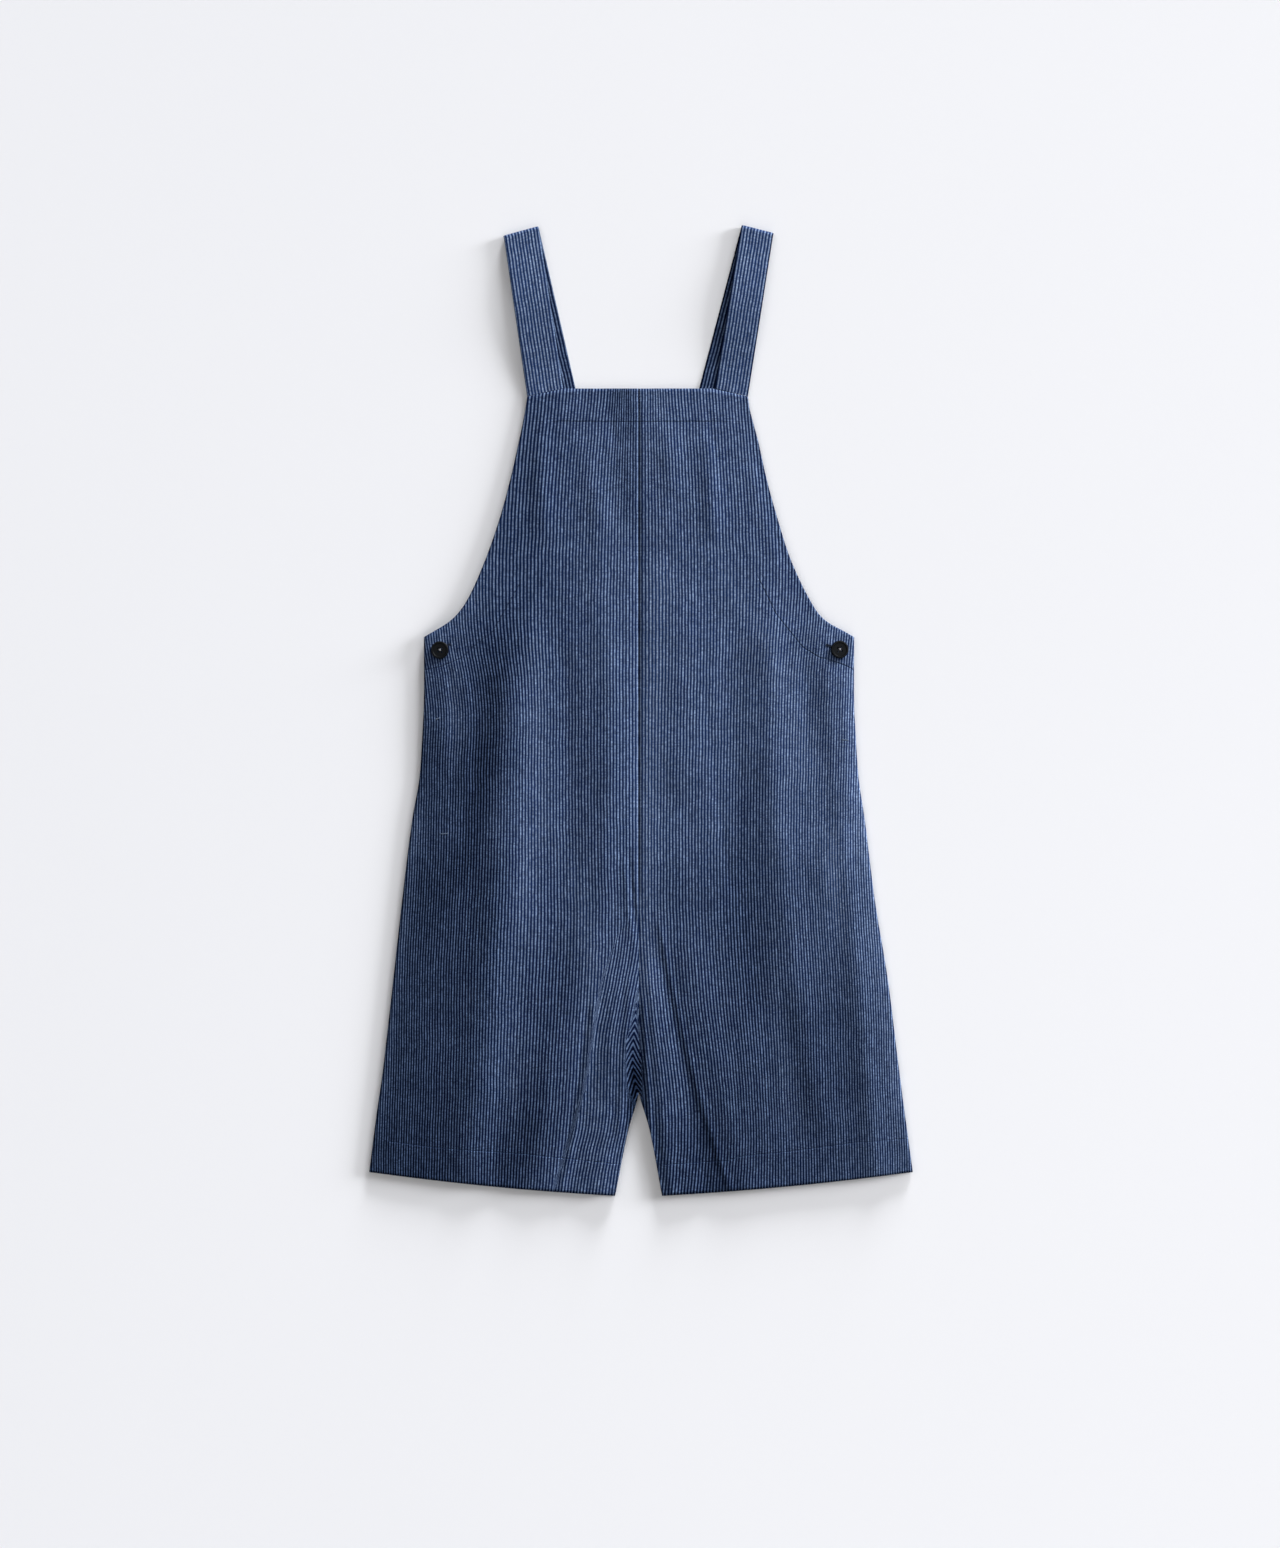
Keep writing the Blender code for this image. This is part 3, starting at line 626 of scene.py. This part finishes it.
def streak_drift(x, y):
    """How much farther outward the stripes between the left thigh's crease and the inseam have moved."""
    steps = np.arange(STREAK[0][0], STREAK[-1][0], -1.0)
    slopes = np.tan(np.radians(np.interp(steps, *zip(*sorted(STREAK_LEANS)))))
    drift = np.interp(y, steps[::-1], np.cumsum(slopes)[::-1] - slopes[0])
    crease = np.interp(y, *zip(*sorted(STREAK)))
    return drift * (y < STREAK[0][0]) * ease((x - crease) / STREAK_EDGE)


def cloth_across(side, x, y):
    """Distance along the cloth from the centre line, which the stripes keep to, in millimetres."""
    out = np.abs(x - SEAM_X)
    share = ease((out - LEAN_NEAR) / (LEAN_FAR - LEAN_NEAR))
    heights, near_leans, far_leans = zip(*sorted(LEANS[side]))
    near = outward_drift(heights, near_leans, y)
    into_seam = near - outward_drift(heights, near_leans, np.maximum(y, SEAM_ENTRY))
    drift = near * (1.0 - share) + outward_drift(heights, far_leans, y) * share
    across = out - into_seam - (drift - into_seam) * ease(out / SEAM_REACH)
    across += CROWDING * across**3 / (3.0 * CROWDING_AT**2)
    if side == "left":
        across = across - streak_drift(x, y)
    apex, left, right = apex_at(y)
    from_apex = np.abs(x - apex)
    lean = math.radians(CHEVRON)
    chevron = from_apex * math.cos(lean) + (y - CHEVRON_TOP) * math.sin(lean) + CHEVRON_SHIFT
    return np.where(from_apex < np.where(x < apex, left, right), chevron, across)


def apex_at(y):
    """The chevrons' middle line and their two half widths."""
    heights, *columns = zip(*sorted(APEXES))
    return [np.interp(y, heights, column) for column in columns]


# ---- meshes

def link(thing):
    bpy.context.scene.collection.objects.link(thing)
    return thing


def piece_from(bm, name, material):
    """The finished mesh as an object of one material."""
    bmesh.ops.recalc_face_normals(bm, faces=bm.faces)
    mesh = bpy.data.meshes.new(name)
    bm.to_mesh(mesh)
    bm.free()
    mesh.shade_smooth()
    piece = link(bpy.data.objects.new(name, mesh))
    piece.data.materials.append(material)
    return piece


def add_marks(mesh, marks):
    """Attributes for the linen: metres to the lines of stitching and to the seam, and the painted light and
    shade.
    """
    for mark, values in marks.items():
        mesh.attributes.new(mark, "FLOAT", "POINT").data.foreach_set("value", values)


def plain_marks(tone):
    """The marks of cloth that has neither stitching nor the seam's shade."""
    marks = {mark: np.full(tone.shape, FAR * MM) for mark in (*LINES, "seam")}
    marks["tone"] = tone
    return marks


def cloth_shell(name, x, y, z, across, marks, material, thickness=CLOTH):
    """A closed shell of cloth under the grid of points.

    Its stripes' coordinates are in a UV map, and marks, named arrays over the grid, in attributes.
    """
    rows, columns = x.shape
    bm = bmesh.new()
    bmesh.ops.create_grid(bm, x_segments=columns - 1, y_segments=rows - 1, size=0.5)
    mesh = bpy.data.meshes.new(name)
    bm.to_mesh(mesh)
    bm.free()
    places = np.empty(len(mesh.vertices) * 3)
    mesh.vertices.foreach_get("co", places)
    places = places.reshape(-1, 3)
    column = np.rint((places[:, 0] + 0.5) * (columns - 1)).astype(int)
    row = np.rint((0.5 - places[:, 1]) * (rows - 1)).astype(int)
    if x[0, 0] > x[0, -1]:
        column = columns - 1 - column
    new = np.stack([x[row, column], y[row, column], z[row, column]], axis=1) * MM
    mesh.vertices.foreach_set("co", new.ravel())
    layer = mesh.uv_layers.new(name="cloth")
    corners = np.empty(len(mesh.loops), dtype=np.int32)
    mesh.loops.foreach_get("vertex_index", corners)
    flat = np.stack([across[row, column], y[row, column]], axis=1) * MM
    layer.data.foreach_set("uv", flat[corners].ravel())
    add_marks(mesh, {mark: values[row, column] for mark, values in marks.items()})
    mesh.update()
    mesh.shade_smooth()
    shell = link(bpy.data.objects.new(name, mesh))
    wall = shell.modifiers.new("wall", "SOLIDIFY")
    wall.thickness = thickness * MM
    wall.offset = -1.0
    wall.use_even_offset = True
    shell.data.materials.append(material)
    return shell


# ---- materials

class Nodes:
    """A short way to write a material's nodes."""

    def __init__(self, name):
        self.material = bpy.data.materials.new(name)
        self.material.use_nodes = True
        self.tree = self.material.node_tree
        self.shader = self.tree.nodes["Principled BSDF"]

    def fill(self, socket, value):
        if isinstance(value, bpy.types.NodeSocket):
            self.tree.links.new(value, socket)
        else:
            socket.default_value = value

    def put(self, kind, values=None, **settings):
        node = self.tree.nodes.new(kind)
        for key, value in settings.items():
            setattr(node, key, value)
        for key, value in (values or {}).items():
            self.fill(node.inputs[key], value)
        return node

    def set(self, name, value):
        self.fill(self.shader.inputs[name], value)

    def math(self, operation, a, b=0.0, clamp=False):
        return self.put("ShaderNodeMath", {0: a, 1: b}, operation=operation, use_clamp=clamp).outputs[0]

    def times(self, a, b):
        return self.math("MULTIPLY", a, b)

    def mix(self, share, a, b, blend="MIX"):
        values = {0: share, 6: a, 7: b}
        node = self.put("ShaderNodeMix", values, data_type="RGBA", blend_type=blend, clamp_factor=False)
        return node.outputs[2]

    def ranged(self, value, low, high, to_low, to_high, kind="LINEAR"):
        values = {"Value": value, "From Min": low, "From Max": high, "To Min": to_low, "To Max": to_high}
        return self.put("ShaderNodeMapRange", values, interpolation_type=kind).outputs[0]

    def soft(self, value, low, high, to_low=0.0, to_high=1.0):
        return self.ranged(value, low, high, to_low, to_high, "SMOOTHSTEP")

    def place(self):
        return self.put("ShaderNodeTexCoord").outputs["Object"]

    def cloud(self, place, scale, detail=2.0):
        return self.put("ShaderNodeTexNoise", {"Vector": place, "Scale": scale, "Detail": detail}).outputs[0]

    def noise(self, x, y, steps, scale, detail=2.0, roughness=0.5):
        """Noise over two coordinates, each multiplied by its step."""
        x, y = (value if step == 1.0 else self.times(value, step) for value, step in zip((x, y), steps))
        vector = self.put("ShaderNodeCombineXYZ", {0: x, 1: y}).outputs[0]
        values = {"Vector": vector, "Scale": scale, "Detail": detail, "Roughness": roughness}
        return self.put("ShaderNodeTexNoise", values, noise_dimensions="2D").outputs[0]

    def mark(self, name):
        return self.put("ShaderNodeAttribute", attribute_name=name).outputs["Fac"]

    def colour(self, red, green, blue):
        return self.put("ShaderNodeCombineColor", {0: red, 1: green, 2: blue}).outputs[0]

    def shaded_by(self, colour, tone, powers):
        """The colour times the painted shading, raised to a power of its own in each channel."""
        tone = self.colour(*(self.math("POWER", tone, power) for power in powers))
        return self.mix(1.0, (*colour, 1.0), tone, "MULTIPLY")

    def bump(self, height, distance, strength, below=None):
        values = {"Height": height, "Distance": distance, "Strength": strength}
        if below is not None:
            values["Normal"] = below
        return self.put("ShaderNodeBump", values).outputs[0]


def striped_linen():
    """Navy linen with pale lines along the grain, slubs in them and a plain weave."""
    n = Nodes("striped_linen")
    uv = n.put("ShaderNodeUVMap", uv_map="cloth").outputs[0]
    split = n.put("ShaderNodeSeparateXYZ", {0: uv})
    across, along = split.outputs[0], split.outputs[1]

    # the line that a place is nearest to, and its distance from that line's middle
    waver = n.noise(across, along, (0.4, 1.0), scale=45.0, detail=3.0, roughness=0.55)
    sway = n.times(n.math("SUBTRACT", waver, 0.5), SWAY * MM)
    phase = n.math("DIVIDE", n.math("ADD", across, sway), STRIPE * MM)
    number = n.math("FLOOR", phase)
    part = n.math("ABSOLUTE", n.math("SUBTRACT", n.math("SUBTRACT", phase, number), 0.5))

    # the pale lines, each with its own strength, uneven and knotted along its length
    line_seed = n.put("ShaderNodeTexWhiteNoise", {"W": number}, noise_dimensions="1D").outputs[0]
    uneven = n.noise(number, along, (7.31, 1.0), scale=95.0, detail=3.0, roughness=0.6)
    knots = n.noise(number, along, (11.37, 1.0), scale=560.0, roughness=0.7)
    half_width = n.ranged(uneven, 0.25, 0.75, *LINE_HALF)
    inner, outer = n.math("SUBTRACT", half_width, LINE_INSIDE), n.math("ADD", half_width, LINE_OUTSIDE)
    strength = n.times(n.ranged(line_seed, 0.0, 1.0, 0.78, 1.02), n.ranged(uneven, 0.3, 0.7, 0.74, 1.1))
    strength = n.times(strength, n.ranged(knots, 0.28, 0.72, 0.56, 1.44))
    line = n.times(n.soft(part, inner, outer, 1.0, 0.0), strength)
    slub_place = n.noise(number, along, (3.77, 1.0), scale=300.0, detail=1.0)
    slub = n.math("MULTIPLY", n.soft(slub_place, 0.74, 0.86), line, clamp=True)

    # the threads, broader patches and painted shade along the seam
    weft = n.noise(across, along, (0.16, 1.0), scale=700.0, detail=3.0, roughness=0.65)
    warp = n.noise(across, along, (1.0, 0.05), scale=1500.0)
    patch = n.noise(across, along, (0.9, 0.6), scale=34.0, detail=3.0, roughness=0.6)
    grain_and_seam_shade = n.times(n.ranged(weft, 0.3, 0.7, 0.78, 1.22), n.ranged(warp, 0.3, 0.7, 0.88, 1.12))
    grain_and_seam_shade = n.times(grain_and_seam_shade, n.ranged(patch, 0.3, 0.7, 0.93, 1.07))
    # Painted shade: darker in the groove along the centre seam
    grain_and_seam_shade = n.times(grain_and_seam_shade, n.soft(n.mark("seam"), 0.1 * MM, 1.0 * MM, SEAM_SHADE, 1.0))

    # the stitches, and where the cloth is doubled beside them
    distances = [n.mark(name) for name in LINES]
    facing, hem, armhole = (n.soft(n.math("ABSOLUTE", distance), 0.0, width * MM, 1.0, 0.0)
                            for distance, width in zip(distances, STITCH_WIDTHS))
    doubled = [n.soft(distance, -DOUBLING * MM, DOUBLING * MM) for distance in distances]
    stitch = n.math("MAXIMUM", n.math("MAXIMUM", n.times(facing, 0.6), hem), armhole)
    dash = n.math("SINE", n.times(n.math("ADD", across, along), 2 * math.pi / (STITCH * MM)))
    thread = n.times(stitch, n.times(n.soft(dash, -0.5, 0.3), 0.75))

    # Painted light and shade: both of the linen's colours are multiplied by the painted shading mark
    tone = n.mark("tone")
    colour = n.mix(line, n.shaded_by(NAVY, tone, SHADING_IN_NAVY), n.shaded_by(PALE, tone, SHADING_IN_PALE))
    colour = n.mix(n.times(slub, 0.6), colour, (*SLUB, 1.0))
    colour = n.mix(1.0, colour, n.colour(grain_and_seam_shade, grain_and_seam_shade, grain_and_seam_shade), "MULTIPLY")
    n.set("Base Color", n.mix(thread, colour, (*THREAD_NAVY, 1.0)))
    n.set("Roughness", 0.82)
    n.set("Specular IOR Level", 0.012)

    warps, wefts = (n.math("SINE", n.times(way, 2 * math.pi / (size * MM)))
                    for way, size in ((across, WARP_SIZE), (along, WEFT_SIZE)))
    threads = n.math("ADD", n.times(n.times(warps, wefts), 0.5), n.math("ADD", weft, warp))
    pucker = n.noise(across, along, (0.55, 1.0), scale=210.0, detail=3.0, roughness=0.6)
    level = n.math("ADD", n.math("SUBTRACT", doubled[0], doubled[1]), n.times(doubled[2], 0.5))
    level = n.math("SUBTRACT", level, n.times(stitch, 0.9))
    rough = n.bump(threads, distance=0.06 * MM, strength=0.4)
    rough = n.bump(pucker, distance=0.4 * MM, strength=0.4, below=rough)
    n.set("Normal", n.bump(level, distance=0.5 * MM, strength=0.8, below=rough))
    return n.material


def floor_material():
    n = Nodes("floor")
    place = n.place()
    side = n.put("ShaderNodeSeparateXYZ", {0: place}).outputs[0]
    # Painted light: lighter toward +X, with a faint random cloud of the floor's own in it
    cloud = n.ranged(n.cloud(place, scale=1.3), 0.3, 0.7, -0.08, 0.08)
    tone = n.math("ADD", n.ranged(side, -FLOOR_BLEND, FLOOR_BLEND, 0.0, 1.0), cloud, clamp=True)
    n.set("Base Color", n.mix(tone, (*FLOOR_LEFT, 1.0), (*FLOOR_RIGHT, 1.0)))
    n.set("Roughness", 0.9)
    n.set("Specular IOR Level", 0.1)
    return n.material


def button_material():
    """Near-black horn, a little cloudy."""
    n = Nodes("button_horn")
    cloud = n.cloud(n.place(), scale=420.0, detail=3.0)
    light = (*(channel * 1.9 for channel in BUTTON_BLACK), 1.0)
    n.set("Base Color", n.mix(cloud, (*BUTTON_BLACK, 1.0), light))
    n.set("Roughness", n.ranged(cloud, 0.3, 0.7, 0.42, 0.55))
    n.set("Specular IOR Level", 0.10)
    return n.material


def thread_material(name, colour):
    """Twisted sewing thread."""
    n = Nodes(name)
    twist = n.cloud(n.place(), scale=2600.0)
    dark = (*(channel * 0.6 for channel in colour), 1.0)
    n.set("Base Color", n.mix(n.soft(twist, 0.3, 0.7), dark, (*colour, 1.0)))
    n.set("Roughness", 0.75)
    n.set("Specular IOR Level", 0.2)
    n.set("Normal", n.bump(twist, distance=0.2 * MM, strength=0.5))
    return n.material


# ---- straps

def strap_path(side):
    """Stations along a strap: outer and inner edge points in plan, and the cloth's middle height."""
    bib, fold, back = np.array(STRAPS[side])
    along = (fold - bib).sum(axis=0)
    bib = bib + GAP * along / np.linalg.norm(along)
    back = back + np.array([0.0, GAP])
    outward = np.array([fold[1, 1] - fold[0, 1], fold[0, 0] - fold[1, 0]])
    outward *= np.sign(outward[1]) / np.linalg.norm(outward)
    turn = fold - outward * (FOLD_R + STRAP_CLOTH / 2)
    start, rest = STRAP_TOP - STRAP_CLOTH / 2, STRAP_CLOTH / 2
    crown = rest + 2.0 * FOLD_R
    stations = []
    for step in range(STRAP_STEPS):
        t = step / STRAP_STEPS
        height = start + (crown - start) * float(ease(t)) + STRAP_ARCH * math.sin(math.pi * t) ** 2
        stations.append((bib + (turn - bib) * t, height))
    for step in range(FOLD_TURNS + 1):
        angle = math.pi * step / FOLD_TURNS
        stations.append((turn + outward * FOLD_R * math.sin(angle), rest + FOLD_R * (1 + math.cos(angle))))
    for step in range(1, STRAP_STEPS + 1):
        stations.append((turn + (back - turn) * step / STRAP_STEPS, rest))
    return stations


def strap_section():
    """Points round a strap: their shares of the width, denser at both edges, and the face they are on."""
    sweep = np.cos(np.pi * np.linspace(0.0, 1.0, STRAP_COLUMNS))
    shares = 0.5 - 0.5 * sweep * (1.0 - STRAP_CROWD + STRAP_CROWD * np.abs(sweep))
    return [(share, 1.0) for share in shares] + [(share, -1.0) for share in shares[::-1]]


def make_strap(side, material):
    """A strap sewn as a flat tube: a rounded section carried along the path."""
    stations = strap_path(side)
    section = strap_section()
    middles = np.array([(*edges.mean(axis=0), height) for edges, height in stations])
    widths = np.array([np.linalg.norm(edges[1] - edges[0]) for edges, _ in stations])
    sideways = np.array([[*(edges[1] - edges[0]), 0.0] for edges, _ in stations]) / widths[:, None]
    ups = np.cross(np.gradient(middles, axis=0), sideways)
    ups /= np.linalg.norm(ups, axis=1)[:, None]
    if ups[0, 2] < 0.0:
        ups = -ups
    travelled = np.concatenate([[0.0], np.cumsum(np.linalg.norm(np.diff(middles, axis=0), axis=1))])
    bm = bmesh.new()
    layer = bm.loops.layers.uv.new("cloth")
    rings = []
    for middle, width, aside, up in zip(middles, widths, sideways, ups):
        ring = []
        for share, face in section:
            crown = min(1.0, min(share, 1.0 - share) * width / STRAP_ROUND)
            lift = STRAP_RIM + (1.0 - STRAP_RIM) * math.sqrt(crown * (2.0 - crown))
            spot = middle + aside * (share - 0.5) * width + up * face * lift * STRAP_CLOTH / 2
            ring.append(bm.verts.new(Vector(spot) * MM))
        rings.append(ring)
    count = len(section)
    for number in range(len(rings) - 1):
        for index in range(count):
            after = (index + 1) % count
            corners = ((0, index), (0, after), (1, after), (1, index))
            face = bm.faces.new([rings[number + step][place] for step, place in corners])
            for loop, (step, place) in zip(face.loops, corners):
                across = (section[place][0] - 0.5) * widths[number]
                loop[layer].uv = (across * MM, travelled[number + step] * MM)
    bm.faces.new(rings[0][::-1])
    bm.faces.new(rings[-1])
    strap = piece_from(bm, "strap_cloth_" + side, material)
    # Painted light and shade on the strap: lighter overall, darker at the rolled edges and past the fold
    edge = np.tile([min(share, 1.0 - share) for share, _ in section], len(rings))
    tone = STRAP_LIGHT * (STRAP_EDGE_SHADE + (1.0 - STRAP_EDGE_SHADE) * ease(edge / STRAP_EDGE))
    past_fold = np.arange(len(edge)) // count > STRAP_STEPS + FOLD_TURNS // 2
    add_marks(strap.data, plain_marks(tone * np.where(past_fold, STRAP_BACK_SHADE, 1.0)))
    strap.data.set_sharp_from_angle(angle=math.radians(60))
    return strap, travelled[-1]


# ---- thread, buttonholes and bartacks

def tube(bm, points, radius, sides=6):
    """A closed round tube through the points, narrower at its ends."""
    points = [Vector(point) for point in points]
    last = len(points) - 1
    rings = []
    for number, point in enumerate(points):
        ahead = points[min(number + 1, last)] - points[max(number - 1, 0)]
        turn = ahead.to_track_quat("Z", "Y")
        reach = radius * (TUBE_END if number in (0, last) else 1.0)
        ring = []
        for step in range(sides):
            angle = 2 * math.pi * step / sides
            spoke = Vector((math.cos(angle), math.sin(angle), 0))
            ring.append(bm.verts.new((point + turn @ spoke * reach) * MM))
        rings.append(ring)
    for low, high in zip(rings, rings[1:]):
        for step in range(sides):
            after = (step + 1) % sides
            bm.faces.new((low[step], low[after], high[after], high[step]))
    bm.faces.new(rings[0][::-1])
    bm.faces.new(rings[-1])


def sewn_on(side, bm, places, rises, radius):
    """A stitch over places in plan, at these heights over the cloth."""
    heights = surface_height(side, *zip(*places))
    tube(bm, [(*place, height + rise) for place, height, rise in zip(places, heights, rises)], radius)


def sewn(name, bm, material):
    piece = piece_from(bm, name, material)
    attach(piece, "root")


def surface_height(side, x, y):
    """The front's upper side at places in plan."""
    x, y = np.asarray(x, float), np.asarray(y, float)
    from_side = np.abs(side_x(side, y) - x)
    z = front_relief(x, y, np.abs(x - SEAM_X), from_side)
    return flattened(side, x, y, z)


def make_button_thread(side, material):
    """Two short stitches that cross in the button's dish, over its four holes."""
    x, y, z, slope_x, slope_y = button_plane(side)
    turn = Vector((-slope_x, -slope_y, 1.0)).normalized().to_track_quat("Z", "Y")
    dish = GAP + BUTTON_THICK - BUTTON_DISH
    bm = bmesh.new()
    for over, angle in ((0.0, math.radians(45.0)), (CROSS_OVER, math.radians(135.0))):
        points = []
        for step in range(-CROSS_STEPS, CROSS_STEPS + 1):
            share = step / CROSS_STEPS
            rise = dish + CROSS_RISE + over * (1 - share**2) - CROSS_SINK * share**4
            reach = CROSS_REACH * share
            local = Vector((math.cos(angle) * reach, math.sin(angle) * reach, rise))
            points.append(Vector((x, y, z)) + turn @ local)
        tube(bm, points, CROSS_THREAD, sides=8)
    sewn("button_thread_" + side, bm, material)


def make_buttonhole(side, material, dark):
    """A worked buttonhole under the button: overcast thread round a slit, with painted shade in the slit."""
    start, end = np.array(BUTTONHOLES[side])
    length = math.dist(start, end)
    along = (end - start) / length
    aside = np.array([-along[1], along[0]])
    bm = bmesh.new()
    stitches = int(length / HOLE_STITCH)
    for edge in (-1, 1):
        for number in range(stitches + 1):
            middle = start + along * length * number / stitches
            places = [middle + aside * edge * reach for reach in HOLE_REACHES]
            sewn_on(side, bm, places, HOLE_RISES, HOLE_THREAD)
    sewn("buttonhole_" + side, bm, material)
    # Painted shade: a near-black tube along the slit stands for its dark opening
    bm = bmesh.new()
    places = [start + (end - start) * number / SLIT_STEPS for number in range(SLIT_STEPS + 1)]
    sewn_on(side, bm, places, [0.0] * len(places), SLIT_RADIUS)
    sewn("buttonhole_slit_" + side, bm, dark)


def make_bartacks(material):
    """Short dense bars of stitches at the ends of the pockets' mouths."""
    bm = bmesh.new()
    for row in BARTACKS:
        turn, lean = math.radians(row.turn), math.radians(row.turn + BAR_LEAN)
        for number in range(row.stitches):
            share = (number + 0.5) / row.stitches - 0.5
            x = row.x + share * row.length * math.cos(turn)
            y = row.y + share * row.length * math.sin(turn)
            places = [(x + math.cos(lean) * reach, y + math.sin(lean) * reach) for reach in BAR_REACHES]
            sewn_on(row.side, bm, places, BAR_RISES, BAR_THREAD)
    sewn("bartacks", bm, material)


# ---- stage, light and camera

def make_stage():
    bm = bmesh.new()
    bmesh.ops.create_grid(bm, x_segments=1, y_segments=1, size=FLOOR_SIZE)
    mesh = bpy.data.meshes.new("floor")
    bm.to_mesh(mesh)
    bm.free()
    floor = link(bpy.data.objects.new("floor", mesh))
    floor.data.materials.append(floor_material())
    return floor


def make_lights(floor):
    """A dim sky, and soft lamps that each light either the floor or the cloth, as flags would have it."""
    receivers = {name: bpy.data.collections.new("lit_" + name) for name in ("floor", "cloth")}
    receivers["floor"].objects.link(floor)
    for thing in bpy.context.scene.objects:
        if thing.type == "MESH" and thing != floor:
            receivers["cloth"].objects.link(thing)
    world = bpy.data.worlds.new("studio")
    world.use_nodes = True
    background = world.node_tree.nodes["Background"]
    background.inputs["Color"].default_value = (*SKY, 1.0)
    background.inputs["Strength"].default_value = SKY_STRENGTH
    bpy.context.scene.world = world
    for row in LAMPS:
        sun = bpy.data.lights.new(row.name, "SUN")
        sun.energy = row.strength
        sun.color = row.tint
        sun.angle = math.radians(row.width)
        lamp = link(bpy.data.objects.new(row.name, sun))
        elevation, azimuth = math.radians(row.elevation), math.radians(row.azimuth)
        level = math.cos(elevation)
        toward = Vector((level * math.cos(azimuth), level * math.sin(azimuth), math.sin(elevation)))
        lamp.rotation_mode = "QUATERNION"
        lamp.rotation_quaternion = toward.to_track_quat("Z", "Y")
        lamp.location = toward * LAMP_AWAY
        lamp.light_linking.receiver_collection = receivers[row.lights]


def make_camera():
    camera = bpy.data.cameras.new("camera")
    camera.lens = LENS
    camera.sensor_width = SENSOR
    height = PHOTO_H * PHOTO_MM * LENS / SENSOR + CLOTH_LEVEL
    middle_x = (PHOTO_W / 2 - PHOTO_ORIGIN[0]) * PHOTO_MM
    middle_y = (PHOTO_ORIGIN[1] - PHOTO_H / 2) * PHOTO_MM
    thing = link(bpy.data.objects.new("camera", camera))
    thing.location = Vector((middle_x, middle_y, height)) * MM
    bpy.context.scene.camera = thing


# ---- the garment


def dress(piece, node):
    """The piece rides on the body and stands for the CAD node."""
    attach(piece, "root")
    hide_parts(node)


def make_front(side, linen):
    x, y, z, from_seam = front_surface(side)
    marks = {name: line_distance(side, name, x, y) * MM for name in LINES}
    # Painted light and shade: the broad bands above, multiplied into the front's colour
    marks["tone"] = cloth_shading(x, y)
    marks["seam"] = (from_seam + SEAM_PAST * ease((SEAM_ENDS - y) / SEAM_FADE)) * MM
    front = cloth_shell("front_cloth_" + side, x, y, z, cloth_across(side, x, y), marks, linen)
    dress(front, "front_" + side)


def make_back(side, linen):
    x, y, z, from_seam = back_surface(side)
    # Painted shade over the whole back
    marks = plain_marks(np.full(x.shape, BACK_SHADE))
    back = cloth_shell("back_cloth_" + side, x, y, z, from_seam, marks, linen, WALL)
    dress(back, "back_" + side)


bpy.context.scene.view_settings.view_transform = "Standard"
floor = make_stage()
linen, horn = striped_linen(), button_material()
pale_thread = thread_material("button_thread", BUTTON_THREAD)
navy_thread = thread_material("navy_thread", THREAD_NAVY)
blue_thread = thread_material("blue_thread", THREAD_BLUE)
slit = thread_material("slit", SLIT_SHADE)
for side in ("left", "right"):
    make_front(side, linen)
    make_back(side, linen)
    strap, length = make_strap(side, linen)
    dress(strap, "strap_" + side)
    button = frame["nodes"]["button_" + side]
    button.data.materials.clear()
    button.data.materials.append(horn)
    make_button_thread(side, pale_thread)
    make_buttonhole(side, navy_thread, slit)
make_bartacks(blue_thread)
make_lights(floor)
make_camera()
